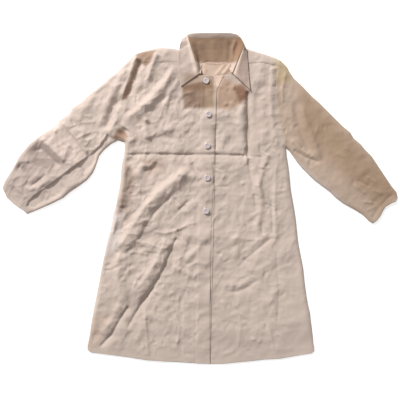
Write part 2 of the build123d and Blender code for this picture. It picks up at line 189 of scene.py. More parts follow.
# ------------------------------------------------------------------ folds
# kind, height, width toward the neck and right side seam, width on the other side, fade in, fade out, line
FOLDS = [
    # right chest and shoulder
    ("ridge", 7.8, 4.0, 7.0, 4, 12, [(178, 66), (164.5, 84), (150, 101), (134, 115), (122, 122)]),
    ("ridge", -1.8, 5.0, 4.0, 6, 10, [(182, 76), (170, 92), (155, 110), (144, 119)]),
    ("ridge", 5.5, 3.0, 3.6, 3, 10, [(158, 53), (152, 66), (147.5, 86)]),
    ("ridge", 4.2, 2.6, 3.2, 4, 8, [(180.5, 78), (169, 95), (163.5, 111)]),
    ("ridge", 6.0, 3.2, 3.4, 3, 7, [(136.5, 56), (131, 76), (121, 100)]),
    ("ridge", -3.0, 4.0, 3.4, 5, 10, [(142, 60), (135, 78), (125.5, 99)]),
    ("sharp", 2.0, 1.2, 1.2, 2, 2, [(139, 109), (147.5, 122)]),
    ("sharp", 1.8, 1.0, 1.0, 2, 2, [(113, 106), (119.5, 114)]),
    ("ridge", 3.6, 3.0, 3.4, 5, 4, [(147, 117), (145.5, 127), (147.5, 141)]),
    ("ridge", -5.0, 6.0, 5.0, 3, 4, [(127, 128), (121, 138)]),
    ("ridge", 2.6, 4.0, 4.0, 6, 6, [(158, 132), (176, 128), (190, 133)]),
    ("ridge", -1.8, 3.0, 3.0, 6, 6, [(150, 139), (164, 137), (181, 141)]),
    ("sharp", -1.6, 0.9, 0.9, 2, 2, [(149, 138), (155, 147)]),
    ("sharp", -1.3, 0.9, 0.9, 2, 2, [(161, 138), (167, 147)]),
    # the pressed fold across the body and the pressed fold down the left front
    ("sharp", -3.0, 0.75, 3.4, 5, 4, [(125, 154.3), (150, 153.6), (176, 154.2), (215, 154.2), (247, 155.3)]),
    ("ridge", 0.7, 3.5, 3.5, 6, 6, [(126, 150), (180, 149.6), (246, 150)]),
    ("sharp", -2.2, 1.2, 3.2, 2, 4, [(247, 157), (265, 156.6)]),
    ("sharp", -6.0, 1.05, 3.0, 4, 2, [(247.4, 90), (247.9, 118), (247.2, 158)]),
    ("ridge", 2.4, 4.5, 3.0, 8, 5, [(243, 96), (243.2, 125), (242.4, 152)]),
    ("sharp", -1.8, 1.3, 2.2, 3, 6, [(247.6, 158), (252, 185), (256, 206), (264, 222), (272, 237)]),
    # right side of the skirt
    ("ridge", 8.8, 4.4, 8.6, 8, 10, [(187, 167), (173, 183), (159, 193), (148, 205), (138, 219), (129, 234), (119, 250)]),
    ("sharp", -2.4, 2.4, 2.0, 8, 8, [(178, 190), (169, 199), (156, 211), (147, 225), (137, 243)]),
    ("ridge", 4.8, 6.0, 6.0, 6, 4, [(123, 160), (121, 182), (118, 208)]),
    ("ridge", -2.8, 5.0, 4.5, 6, 5, [(133, 180), (129, 198), (124.5, 212)]),
    ("ridge", 4.0, 4.0, 4.0, 4, 6, [(146, 163), (141, 172), (131, 180)]),
    ("ridge", -3.0, 4.6, 4.6, 4, 5, [(160, 163), (151, 171), (140, 175)]),
    ("ridge", 4.2, 5.0, 3.0, 4, 4, [(115, 214), (111, 235)]),
    ("sharp", -4.0, 1.3, 3.0, 4, 10, [(177.5, 236), (170, 252), (163.5, 269), (153, 287), (142.5, 301), (126, 330)]),
    ("ridge", 4.6, 3.4, 8.0, 6, 8, [(168, 238), (157, 262), (146, 279), (133, 296)]),
    ("sharp", -4.2, 1.1, 2.4, 3, 5, [(128.5, 305), (119.5, 320), (111.5, 334), (98, 349)]),
    ("ridge", 2.6, 3.2, 4.4, 4, 5, [(121, 303), (112, 319), (101, 336)]),
    ("ridge", 4.6, 4.0, 5.5, 5, 8, [(121, 252), (117, 270), (121, 288), (125, 305)]),
    ("sharp", -2.2, 1.2, 2.2, 2, 2, [(103, 270), (112, 269.5), (119, 265.5)]),
    ("sharp", -2.0, 1.0, 1.6, 2, 2, [(103, 266), (112, 264)]),
    ("sharp", 1.6, 2.2, 1.2, 4, 4, [(145, 306), (146.8, 330), (148.5, 357)]),
    ("sharp", 2.2, 1.4, 2.4, 3, 4, [(128, 252), (140, 252), (150, 255)]),
    ("sharp", 1.8, 1.2, 2.0, 3, 4, [(136, 241), (148, 243), (161, 248), (170, 247)]),
    ("sharp", -1.6, 1.2, 2.0, 3, 4, [(147, 252), (160, 254), (168, 251)]),
    ("ridge", 3.4, 3.0, 3.4, 3, 4, [(133, 282), (143, 288), (152, 282)]),
    ("ridge", 2.6, 3.4, 4.4, 6, 8, [(150, 310), (143, 326), (133, 345)]),
    # wrinkles that meet beside the placket
    ("sharp", 2.0, 1.4, 1.6, 1, 5, [(178, 230), (171, 221), (166, 209)]),
    ("sharp", 1.8, 1.4, 1.4, 1, 5, [(178, 230), (188, 224), (200, 222)]),
    ("sharp", -1.8, 1.4, 1.4, 1, 5, [(178, 230), (184, 240), (193, 247)]),
    ("sharp", 1.8, 1.2, 1.6, 1, 5, [(178, 230), (165, 233), (152, 231)]),
    ("sharp", -2.0, 1.2, 2.0, 3, 4, [(174, 217), (181, 208), (190, 200)]),
    ("sharp", 2.0, 1.6, 2.4, 3, 4, [(186, 268), (196, 262), (207, 263)]),
    ("ridge", 2.6, 2.4, 3.4, 4, 4, [(172, 266), (182, 270), (194, 276), (202, 270)]),
    ("ridge", 3.2, 3.0, 4.0, 4, 4, [(207, 236), (196, 250), (184, 262)]),
    ("ridge", 2.4, 3.0, 3.6, 4, 5, [(208, 190), (192, 205), (182, 216)]),
    ("sharp", -2.4, 2.2, 1.4, 2, 3, [(191, 163), (197, 170), (203, 174)]),
    ("ridge", 2.4, 3.0, 3.0, 2, 3, [(186, 160), (193, 172), (200, 181)]),
    # left front below the pressed fold
    ("sharp", -2.2, 1.0, 2.4, 1, 2, [(213.6, 163), (214.2, 186)]),
    ("sharp", -1.4, 1.0, 1.0, 2, 3, [(214, 187), (230, 186.5)]),
    ("ridge", 3.0, 3.2, 2.6, 5, 5, [(268, 153), (262, 172), (258, 186), (262, 200)]),
    ("sharp", -1.7, 1.8, 1.2, 4, 4, [(272.8, 237), (257, 250), (246, 259), (237.5, 268)]),
    ("ridge", 1.5, 3.0, 4.4, 5, 5, [(268, 233), (252, 246), (239, 256)]),
    ("sharp", -1.5, 1.6, 1.2, 4, 3, [(260, 279), (248, 287), (237, 292.3), (224, 290.5)]),
    ("ridge", 2.2, 3.0, 4.0, 5, 4, [(256, 275), (243, 284), (229, 286)]),
    ("sharp", -2.2, 1.4, 1.2, 6, 4, [(271.5, 198), (272.4, 218), (272.8, 236)]),
    ("sharp", 2.0, 1.6, 2.2, 4, 6, [(275.6, 165), (274.5, 200), (275.6, 240)]),
    ("ridge", 2.2, 3.4, 3.4, 8, 8, [(252, 162), (262, 196), (260, 215), (255, 236)]),
    ("sharp", -2.0, 1.6, 1.4, 3, 3, [(256, 213), (262, 222), (262.5, 236)]),
    ("ridge", 2.4, 3.6, 4.0, 5, 8, [(232, 236), (238, 246), (233, 262)]),
    ("sharp", -1.3, 1.4, 1.6, 4, 6, [(276, 250), (279, 290), (277, 325)]),
    ("sharp", 1.3, 1.4, 1.6, 5, 6, [(232, 300), (241, 322), (238, 350)]),
    ("sharp", 1.1, 1.4, 1.6, 5, 6, [(258, 296), (268, 322), (274, 352)]),
    ("sharp", 1.2, 1.2, 1.4, 5, 6, [(172, 305), (180, 326), (176, 352)]),
    ("sharp", -1.2, 1.4, 1.6, 5, 6, [(188, 286), (180, 303), (183, 322)]),
    # left chest
    ("ridge", 3.0, 3.0, 3.6, 4, 8, [(273, 66), (270.5, 92), (272, 120), (276, 148)]),
    ("sharp", 2.2, 1.4, 1.0, 2, 4, [(250, 90), (254.5, 79)]),
    ("ridge", 2.6, 3.0, 4.6, 6, 8, [(228, 104), (240, 108), (240.5, 140)]),
    ("ridge", 2.2, 4.0, 3.0, 4, 6, [(220, 124), (226, 134), (220, 151)]),
    ("sharp", -2.4, 1.4, 1.0, 2, 2, [(215.4, 128), (215.5, 151)]),
    ("ridge", -2.2, 4.0, 4.0, 6, 6, [(262, 80), (257, 104), (258, 138)]),
    ("ridge", 1.8, 3.0, 3.0, 6, 6, [(252, 132), (262, 134), (271, 130)]),
    ("ridge", 2.4, 5.0, 5.0, 6, 6, [(256, 60), (262, 72), (264, 88)]),
    # right sleeve
    ("sharp", 4.2, 3.4, 1.3, 5, 5, [(62, 121), (75, 137.5), (88.5, 155)]),
    ("sharp", 3.6, 3.4, 1.6, 4, 4, [(40, 138), (53, 150), (66, 162.5)]),
    ("ridge", -3.4, 3.6, 3.6, 5, 5, [(36, 146), (47, 155), (60, 168)]),
    ("ridge", 2.6, 4.6, 4.6, 6, 6, [(96, 92), (84, 110), (80, 126)]),
    ("ridge", 4.0, 4.4, 4.0, 7, 7, [(129, 66), (116, 88), (107, 110), (101, 128)]),
    ("ridge", -3.4, 4.0, 4.0, 6, 6, [(118, 98), (110, 116), (106, 131)]),
    ("ridge", 3.2, 3.6, 3.6, 5, 5, [(121, 104), (116, 121), (108, 136)]),
    ("step", -3.8, 1.5, 17.0, 5, 3, [(25, 208), (28, 201), (33, 196), (54, 181), (71, 168), (89, 155), (100, 145), (108, 133)]),
    ("sharp", -1.6, 1.0, 1.4, 2, 3, [(5.7, 190), (12, 199), (25.5, 209)]),
    ("sharp", -3.0, 1.6, 1.8, 2, 4, [(25.5, 181), (30, 187), (47, 174)]),
    ("ridge", 3.2, 3.0, 3.0, 3, 4, [(24, 188), (38, 188), (52, 178)]),
    ("ridge", -3.6, 4.5, 4.5, 4, 4, [(15, 164), (24, 172), (31, 181)]),
    ("sharp", 2.0, 1.4, 1.4, 2, 2, [(16, 162), (30, 161.5)]),
    ("sharp", -1.8, 1.2, 1.2, 2, 2, [(91, 155), (96, 163)]),
    ("sharp", -1.8, 1.2, 1.2, 2, 2, [(74, 171), (82, 183)]),
    ("sharp", -1.8, 1.2, 1.2, 2, 2, [(50, 186), (61, 195)]),
    ("sharp", 1.5, 1.2, 1.2, 3, 3, [(68, 128), (82, 123), (97, 122)]),
    ("sharp", 1.5, 1.2, 1.2, 3, 3, [(75, 140), (86, 134), (99, 131)]),
    ("sharp", -1.5, 1.2, 1.2, 3, 3, [(56, 132), (62, 144), (75, 152)]),
    ("sharp", 1.3, 1.2, 1.2, 3, 3, [(96, 104), (103, 114), (101, 124)]),
    ("sharp", 1.6, 1.2, 1.4, 3, 3, [(10, 182), (19, 190), (26, 199)]),
    # left sleeve
    ("ridge", 2.8, 4.0, 3.6, 8, 10, [(300, 103), (308, 128), (321, 162)]),
    ("ridge", -2.4, 4.0, 4.0, 8, 10, [(293, 100), (300, 128), (311, 158)]),
    ("sharp", -2.4, 1.4, 1.8, 2, 4, [(293, 150), (305, 157), (320, 162.5)]),
    ("sharp", 2.0, 1.4, 1.6, 2, 4, [(291, 140), (300, 150), (311, 156)]),
    ("sharp", -1.6, 1.4, 1.4, 2, 3, [(300, 149), (304, 146)]),
    ("sharp", 1.5, 1.4, 1.4, 3, 3, [(353, 184), (366, 194.5)]),
    ("sharp", -1.5, 1.4, 1.4, 3, 3, [(356, 180), (371, 187)]),
    ("sharp", 1.5, 1.4, 1.4, 3, 3, [(362, 201.5), (374, 203)]),
    ("sharp", 1.4, 1.4, 1.4, 3, 3, [(366, 176), (377, 184)]),
    ("sharp", 1.4, 1.4, 1.4, 3, 3, [(371, 190), (384, 194)]),
    ("ridge", 2.0, 7.0, 6.0, 8, 8, [(300, 84), (330, 122), (352, 150), (368, 176)]),
    ("sharp", -1.5, 1.0, 1.4, 2, 2, [(394.5, 193), (386, 200), (379, 208), (371.5, 219)]),
    ("sharp", 1.6, 1.2, 1.2, 3, 4, [(286, 72), (282, 90), (283, 104)]),
    ]


def make_wrinkles():
    """Short shallow creases of cloth that was kept folded, scattered by a fixed seed."""
    rng = np.random.RandomState(7)
    found = []
    areas = [((128, 285), (80, 350), 150, 0.9), ((20, 120), (80, 205), 64, 1.0),
             ((290, 390), (80, 212), 40, 0.62)]
    for (u0, u1), (v0, v1), count, strength in areas:
        for _ in range(count):
            u, v = rng.uniform(u0, u1), rng.uniform(v0, v1)
            angle = rng.choice([0.75, 2.3, 1.5, 0.1]) + rng.normal(0, 0.45)
            size = rng.uniform(5, 15)
            bend = rng.normal(0, 0.22)
            a = (u - math.cos(angle) * size / 2, v - math.sin(angle) * size / 2)
            c = (u + math.cos(angle + bend) * size / 2, v + math.sin(angle + bend) * size / 2)
            h = rng.uniform(0.7, 2.1) * strength * rng.choice([1, 1, -1])
            w = rng.uniform(0.6, 1.7)
            found.append(("sharp", h, w, w * rng.uniform(0.8, 1.5), size * 0.35, size * 0.35,
                          [a, (u, v), c]))
    return found


WRINKLES = make_wrinkles()
EDGES = [R_TOP, R_UNDER, R_SIDE, L_TOP, L_UNDER, L_SIDE]
PLACKET_MID = [(206.2, 70)] + BUTTONS + [(204.6, 300), (203.0, 364)]


def sleeve_share(U, V):
    """1 on a sleeve, 0 on the trunk."""
    left_edge = np.interp(V, [p[1] for p in R_ARMHOLE], [p[0] for p in R_ARMHOLE])
    right_edge = np.interp(V, [p[1] for p in L_ARMHOLE], [p[0] for p in L_ARMHOLE])
    return ((U < left_edge - 0.01) & (V < 216) & (U < 124.4 - 0.0 * V) | (U > right_edge + 0.01) & (V < 226)
            & (U > 286.5)).astype(float)


def height(U, V, wrinkles=True):
    """Top of the cloth, in millimetres above the floor."""
    U, V = np.asarray(U, float), np.asarray(V, float)
    edge = np.full(U.shape, 1e9)
    for line in EDGES:
        edge = np.minimum(edge, nearest(U, V, line)[0])
    edge *= CELL
    hem = nearest(U, V, HEM)[0] * CELL
    cuff = np.minimum(nearest(U, V, R_CUFF)[0], nearest(U, V, L_CUFF)[0]) * CELL
    full = 9.2 - 4.6 * (1 - smooth(hem / 95)) - 3.6 * (1 - smooth(cuff / 70))
    mid = np.interp(V, [p[1] for p in PLACKET_MID], [p[0] for p in PLACKET_MID])
    full = full + 2.1 * np.exp(-((U - mid) / 11) ** 2) * smooth((V - 60) / 12) * smooth((hem - 20) / 90)
    z = np.zeros(U.shape)
    for kind, h, wl, wr, e0, e1, line in FOLDS + (WRINKLES if wrinkles else []):
        reach = 3.2 * max(wl, wr)
        p = np.array(line)
        near = ((U > p[:, 0].min() - reach) & (U < p[:, 0].max() + reach)
                & (V > p[:, 1].min() - reach) & (V < p[:, 1].max() + reach))
        if not near.any():
            continue
        d, side, run, total = nearest(U[near], V[near], line)
        fade = smooth(run / max(e0, 0.01)) * smooth((total - run) / max(e1, 0.01))
        w = np.where(side > 0, wr, wl)
        if kind == "ridge":
            add = h * np.exp(-(d / w) ** 2)
        elif kind == "sharp":
            add = h * np.exp(-np.sqrt(d * d + 0.16) / w) * math.exp(0.4 / max(w.mean(), 0.5))
        else:
            add = np.where(side > 0, h * smooth(d / wl) * np.exp(-(d / wr) ** 2), 0.0)
        uneven = 0.72 + 0.56 * noise(U[near] / 7.0, V[near] / 7.0, 10) if max(wl, wr) > 2.2 else 1.0
        z[near] += add * fade * 1.3 * uneven
    x, y = U * CELL, V * CELL
    z += 2.6 * (noise(x / 70, y / 70, 0) - 0.5) + 1.6 * (noise(x / 31 + y / 90, y / 37, 1) - 0.5)
    crumple = np.interp(U, [0, 120, 150, 200, 225, 285, 300, 400], [2.1, 2.0, 1.8, 1.5, 1.25, 1.15, 0.5, 0.6])
    crumple = crumple * np.interp(V, [60, 150, 270, 320, 365], [0.9, 1.0, 1.0, 0.62, 0.6])
    fine = np.interp(U, [0, 112, 128, 400], [0.55, 0.6, 1.0, 0.9])
    z += crumple * (3.9 * (facets(x / 33, y / 31, 0) - 0.5) + 1.7 * fine * (facets(x / 12.5 + y / 50, y / 14, 1) - 0.5))
    z += crumple * (0.7 * (ridged(x / 26 + y / 60, y / 24, 2) ** 3 - 0.3) + 0.5 * fine * (ridged(x / 13, y / 15 + x / 40, 3) ** 2 - 0.4))
    under_collar = patch(U, V, [(176, 46), (190, 44), (200, 68), (206, 88), (182, 92), (173, 66)], 5)
    under_collar = np.maximum(under_collar, patch(U, V, [(240, 44), (250, 50), (256, 70), (254, 92), (244, 88), (228, 78), (234, 66)], 5))
    z = z * (1 - 0.85 * under_collar)
    z *= smooth(edge / 16) * (0.35 + 0.65 * smooth(hem / 40)) * (0.4 + 0.6 * smooth(cuff / 30))
    roll = np.sqrt(np.clip(1 - (1 - np.clip(edge / 11.0, 0, 1)) ** 2, 0, 1))
    z = 2.2 + (full - 2.2 + z) * roll
    hollow = patch(U, V, [(176, 90), (246, 88), (246, 112), (176, 112)], 6)
    z = z - 1.5 * hollow * smooth((V - 86) / 20)
    for bu, bv in BUTTONS:
        g = np.exp(-(np.hypot(U - bu, V - bv) / 4.6) ** 4)
        z = z * (1 - g) + 11.9 * g
    return np.maximum(z, 2.0)


# ------------------------------------------------------------------ local colour of the cloth, with painted shade and painted highlights
def tone(U, V, Z):
    """Multiplier of the cloth's colour, on the upper side only unless whole: painted shade and painted highlights for
    hollows, folds, the collar's shadow and the darker left sleeve, and a few other tints.
    """
    c = np.ones(U.shape + (3,))
    upper = smooth((Z - 2.4) / 1.2)

    def put(polygon, soft, rgb, whole=False):
        m = patch(U, V, polygon, soft)[..., None]
        if not whole:
            m = m * upper[..., None]
        c[...] = c * (1 - m) + c * np.array(rgb) * m

    # painted shade: the whole left sleeve darker, and darker still towards its cuff
    put([(281, 56), (292, 66), (402, 190), (374, 228), (286, 150), (277, 112), (276, 80)], 2.0, (0.86, 0.80, 0.72), True)
    put([(302, 88), (402, 190), (384, 214), (300, 134)], 12.0, (0.80, 0.73, 0.64), True)
    put([(274, 54), (288, 62), (290, 82), (277, 84), (273, 66)], 3.0, (1.0, 1.0, 0.84))
    # painted shadow of the collar on the chest below both leaves; the placket inside it is lightened back as painted
    # light
    put([(183, 74), (212, 75.5), (214.5, 90), (184, 90)], 2.2, (0.80, 0.72, 0.65))
    put([(182, 86), (213, 80), (214.6, 107.5), (207, 108.5), (184, 108)], 2.0, (0.53, 0.44, 0.37))
    put([(205, 84), (213.8, 80), (215, 108), (205, 108.5)], 1.4, (1.36, 1.42, 1.34))
    put([(216.5, 92), (223, 77), (248, 90), (246, 99), (238, 107), (228, 110), (216.5, 108)], 3.0, (0.80, 0.68, 0.58))
    put([(233, 88), (243, 83), (248, 92), (246, 99), (240, 103)], 2.2, (0.60, 0.50, 0.44))
    # painted highlight on the lit top of the button band and the placket's edge beside it
    put([(212.3, 75.5), (223.5, 75.5), (218.6, 88), (218, 99), (215.6, 99), (215.8, 88)], 0.8, (1.3, 1.2, 1.14))
    # painted shade: the shoulder recess, the strip beside the sleeve head's ridge and the armpit
    put([(137, 52.5), (156, 50.5), (150, 64), (146, 67), (141, 63), (136, 62)], 1.0, (0.66, 0.55, 0.47))
    put([(138, 61), (141.5, 61), (127, 99), (121, 100)], 1.2, (0.64, 0.52, 0.44))
    put([(112, 138), (118, 129), (124, 129), (128, 137), (123, 141.5), (116, 139)], 1.8, (0.66, 0.53, 0.45))
    # painted shade on two facets of the right sleeve, and a painted highlight on the facet between the creases
    put([(15, 167), (21, 160), (24, 164), (32, 179), (30, 186), (25, 176)], 4.0, (0.84, 0.82, 0.81))
    put([(39, 139), (64, 163.5), (53, 166), (47, 170), (36, 167), (27, 149)], 4.0, (0.82, 0.80, 0.79))
    put([(41, 138), (62, 121), (88, 154), (67, 162)], 1.0, (1.10, 1.09, 1.10))
    put([(2, 186), (28, 140), (41, 138), (67, 162), (88, 156), (80, 176), (52, 200), (30, 213)], 5.0, (0.91, 0.90, 0.915))
    put([(254, 84), (275, 76), (284, 150), (254, 150)], 6.0, (0.95, 0.945, 0.935))
    # painted shade: the rounded lobe by the right side seam and the hollow above the big skirt fold
    put([(125, 163), (134, 170), (135, 188), (127, 211), (119, 213), (117, 204), (123, 188)], 2.6, (0.70, 0.66, 0.63))
    put([(142, 160), (163, 158), (164, 170), (148, 176)], 3.0, (0.84, 0.79, 0.76))
    put([(112, 212), (124, 214), (118, 250), (104, 256)], 3.0, (1.08, 1.14, 1.2))
    put([(88, 316), (112, 312), (98, 348), (86, 350)], 3.0, (0.93, 0.90, 0.86))
    # painted light: the inside of the yoke at the neck lightened against the collar's shade
    put([(199, 62), (233, 62), (232, 76), (199, 76)], 1.5, (1.14, 1.10, 1.06))
    return c


# ------------------------------------------------------------------ materials
def nodes_of(mat):
    mat.use_nodes = True
    tree = mat.node_tree
    tree.nodes.clear()
    return tree


def link(tree, a, b):
    tree.links.new(a, b)


def cotton(name, rgb, sheen=0.16, crumple=0.7, weave=0.00062, toned=True):
    """Plain-woven cotton with slubs, uneven dye, small creases and a slight sheen."""
    mat = bpy.data.materials.new(name)
    tree = nodes_of(mat)
    n = tree.nodes
    out = n.new("ShaderNodeOutputMaterial")
    bsdf = n.new("ShaderNodeBsdfPrincipled")
    link(tree, bsdf.outputs[0], out.inputs[0])
    bsdf.inputs["Sheen Weight"].default_value = sheen
    bsdf.inputs["Sheen Roughness"].default_value = 0.45
    bsdf.inputs["Specular IOR Level"].default_value = 0.28
    uv = n.new("ShaderNodeUVMap")
    uv.uv_map = "UVMap"

    def scaled(x, y, z=1.0):
        m = n.new("ShaderNodeMapping")
        m.inputs["Scale"].default_value = (x, y, z)
        link(tree, uv.outputs[0], m.inputs[0])
        return m.outputs[0]

    def tex(kind, vector, scale, detail=3.0, rough=0.55, ntype="FBM"):
        t = n.new(kind)
        if kind == "ShaderNodeTexNoise":
            t.noise_type = ntype
            t.inputs["Detail"].default_value = detail
            t.inputs["Roughness"].default_value = rough
        t.inputs["Scale"].default_value = scale
        link(tree, vector, t.inputs["Vector"])
        return t.outputs[0] if kind == "ShaderNodeTexNoise" else t.outputs["Fac"]

    def wave(direction):
        t = n.new("ShaderNodeTexWave")
        t.bands_direction = direction
        t.inputs["Scale"].default_value = 0.31416 / weave
        t.inputs["Distortion"].default_value = 0.6
        t.inputs["Detail"].default_value = 1.0
        t.inputs["Detail Scale"].default_value = 0.12
        link(tree, uv.outputs[0], t.inputs["Vector"])
        return t.outputs["Fac"]

    def calc(op, a, b=None, value=None):
        m = n.new("ShaderNodeMath")
        m.operation = op
        link(tree, a, m.inputs[0])
        if b is not None:
            link(tree, b, m.inputs[1])
        elif value is not None:
            m.inputs[1].default_value = value
        return m.outputs[0]

    def ramp(fac, stops):
        r = n.new("ShaderNodeValToRGB")
        el = r.color_ramp.elements
        while len(el) < len(stops):
            el.new(0.5)
        for e, (pos, col) in zip(el, stops):
            e.position = pos
            e.color = (*col, 1)
        link(tree, fac, r.inputs[0])
        return r.outputs[0]

    def times(a, b, fac=1.0):
        m = n.new("ShaderNodeMix")
        m.data_type = "RGBA"
        m.blend_type = "MULTIPLY"
        m.inputs[0].default_value = fac
        link(tree, a, m.inputs[6])
        link(tree, b, m.inputs[7])
        return m.outputs[2]

    weave_h = calc("ABSOLUTE", calc("SUBTRACT", wave("X"), wave("Y")))
    warp_slub = tex("ShaderNodeTexNoise", scaled(1500, 55), 1.0, 2.0)
    weft_slub = tex("ShaderNodeTexNoise", scaled(55, 1500), 1.0, 2.0)
    slub = calc("MULTIPLY", calc("ADD", warp_slub, weft_slub), value=0.5)
    dye = tex("ShaderNodeTexNoise", uv.outputs[0], 9.0, 4.0, 0.6)
    fleck = tex("ShaderNodeTexNoise", uv.outputs[0], 150.0, 3.0, 0.7)
    wear = tex("ShaderNodeTexNoise", uv.outputs[0], 42.0, 5.0, 0.6, "RIDGED_MULTIFRACTAL")
    lo = [c * 0.93 for c in rgb]
    hi = [min(1.0, c * 1.05) for c in rgb]
    colour = ramp(dye, [(0.30, lo), (0.52, rgb), (0.74, hi)])
    colour = times(colour, ramp(slub, [(0.28, (0.92, 0.915, 0.905)), (0.66, (1.0, 1.0, 1.0))]), 0.9)
    colour = times(colour, ramp(weave_h, [(0.0, (0.94, 0.935, 0.93)), (0.45, (1.0, 1.0, 1.0))]), 0.8)
    colour = times(colour, ramp(fleck, [(0.28, (0.955, 0.95, 0.94)), (0.58, (1.0, 1.0, 1.0))]), 1.0)
    # the tone attribute brings in painted shade and painted highlights, with a few other tints
    if toned:
        attr = n.new("ShaderNodeAttribute")
        attr.attribute_name = "tone"
        colour = times(colour, attr.outputs["Color"])
    link(tree, colour, bsdf.inputs["Base Color"])
    link(tree, ramp(fleck, [(0.2, (0.80, 0.80, 0.80)), (0.8, (0.93, 0.93, 0.93))]), bsdf.inputs["Roughness"])

    def bump(h, distance, strength, before=None):
        b = n.new("ShaderNodeBump")
        b.inputs["Strength"].default_value = strength
        b.inputs["Distance"].default_value = distance
        link(tree, h, b.inputs["Height"])
        if before is not None:
            link(tree, before, b.inputs["Normal"])
        return b.outputs[0]

    big = bump(wear, 0.0011, crumple)
    mid = bump(slub, 0.00022, 0.7, big)
    link(tree, bump(weave_h, 0.00014, 0.6, mid), bsdf.inputs["Normal"])
    return mat


def yarn(name, rgb):
    """Twisted sewing thread."""
    mat = bpy.data.materials.new(name)
    tree = nodes_of(mat)
    n = tree.nodes
    out = n.new("ShaderNodeOutputMaterial")
    bsdf = n.new("ShaderNodeBsdfPrincipled")
    link(tree, bsdf.outputs[0], out.inputs[0])
    bsdf.inputs["Sheen Weight"].default_value = 0.3
    where = n.new("ShaderNodeTexCoord")
    w = n.new("ShaderNodeTexWave")
    w.bands_direction = "DIAGONAL"
    w.inputs["Scale"].default_value = 620.0
    w.inputs["Distortion"].default_value = 0.4
    link(tree, where.outputs["Object"], w.inputs["Vector"])
    f = n.new("ShaderNodeTexNoise")
    f.inputs["Scale"].default_value = 900.0
    link(tree, where.outputs["Object"], f.inputs["Vector"])
    r = n.new("ShaderNodeValToRGB")
    r.color_ramp.elements[0].color = (*[c * 0.72 for c in rgb], 1)
    r.color_ramp.elements[0].position = 0.15
    r.color_ramp.elements[1].color = (*rgb, 1)
    r.color_ramp.elements[1].position = 0.6
    link(tree, w.outputs["Fac"], r.inputs[0])
    link(tree, r.outputs[0], bsdf.inputs["Base Color"])
    rr = n.new("ShaderNodeMapRange")
    rr.inputs["To Min"].default_value = 0.5
    rr.inputs["To Max"].default_value = 0.75
    link(tree, f.outputs[0], rr.inputs["Value"])
    link(tree, rr.outputs[0], bsdf.inputs["Roughness"])
    b = n.new("ShaderNodeBump")
    b.inputs["Strength"].default_value = 0.7
    b.inputs["Distance"].default_value = 0.0001
    link(tree, w.outputs["Fac"], b.inputs["Height"])
    link(tree, b.outputs[0], bsdf.inputs["Normal"])
    return mat


def resin(name, rgb):
    """Cast button resin: pale, faintly clouded, glossy with fine wear."""
    mat = bpy.data.materials.new(name)
    tree = nodes_of(mat)
    n = tree.nodes
    out = n.new("ShaderNodeOutputMaterial")
    bsdf = n.new("ShaderNodeBsdfPrincipled")
    link(tree, bsdf.outputs[0], out.inputs[0])
    bsdf.inputs["Coat Weight"].default_value = 0.35
    bsdf.inputs["Coat Roughness"].default_value = 0.18
    bsdf.inputs["Subsurface Weight"].default_value = 0.12
    bsdf.inputs["Subsurface Radius"].default_value = (0.002, 0.0018, 0.002)
    bsdf.inputs["Subsurface Scale"].default_value = 0.5
    where = n.new("ShaderNodeTexCoord")
    cloud = n.new("ShaderNodeTexNoise")
    cloud.inputs["Scale"].default_value = 130.0
    cloud.inputs["Distortion"].default_value = 1.4
    link(tree, where.outputs["Object"], cloud.inputs["Vector"])
    r = n.new("ShaderNodeValToRGB")
    r.color_ramp.elements[0].position = 0.3
    r.color_ramp.elements[0].color = (*[c * 0.86 for c in rgb], 1)
    r.color_ramp.elements[1].position = 0.65
    r.color_ramp.elements[1].color = (*rgb, 1)
    link(tree, cloud.outputs[0], r.inputs[0])
    link(tree, r.outputs[0], bsdf.inputs["Base Color"])
    scuff = n.new("ShaderNodeTexNoise")
    scuff.inputs["Scale"].default_value = 1400.0
    scuff.inputs["Detail"].default_value = 4.0
    link(tree, where.outputs["Object"], scuff.inputs["Vector"])
    rr = n.new("ShaderNodeMapRange")
    rr.inputs["To Min"].default_value = 0.16
    rr.inputs["To Max"].default_value = 0.42
    link(tree, scuff.outputs[0], rr.inputs["Value"])
    link(tree, rr.outputs[0], bsdf.inputs["Roughness"])
    b = n.new("ShaderNodeBump")
    b.inputs["Strength"].default_value = 0.15
    b.inputs["Distance"].default_value = 0.00006
    link(tree, scuff.outputs[0], b.inputs["Height"])
    link(tree, b.outputs[0], bsdf.inputs["Normal"])
    return mat


CLOTH = (0.602, 0.503, 0.452)
M_BODY = cotton("cotton_body", CLOTH)
M_SLEEVE = cotton("cotton_sleeve", (0.614, 0.515, 0.464))
M_COLLAR = cotton("cotton_collar", (0.600, 0.500, 0.450), crumple=0.45)
M_INSIDE = cotton("cotton_inside", (0.590, 0.480, 0.415), crumple=0.45)
M_THREAD = yarn("sewing_thread", (0.62, 0.52, 0.46))
M_BUTTON_THREAD = yarn("button_thread", (0.74, 0.68, 0.66))
M_BUTTON = resin("button_resin", (0.66, 0.60, 0.63))


# ------------------------------------------------------------------ mesh making
def grid_faces(rows, cols, start=0, flip=False):
    r, c = np.meshgrid(np.arange(rows - 1), np.arange(cols - 1), indexing="ij")
    a = (start + r * cols + c).ravel()
    f = np.stack([a, a + cols, a + cols + 1, a + 1], -1)
    return f[:, ::-1] if flip else f


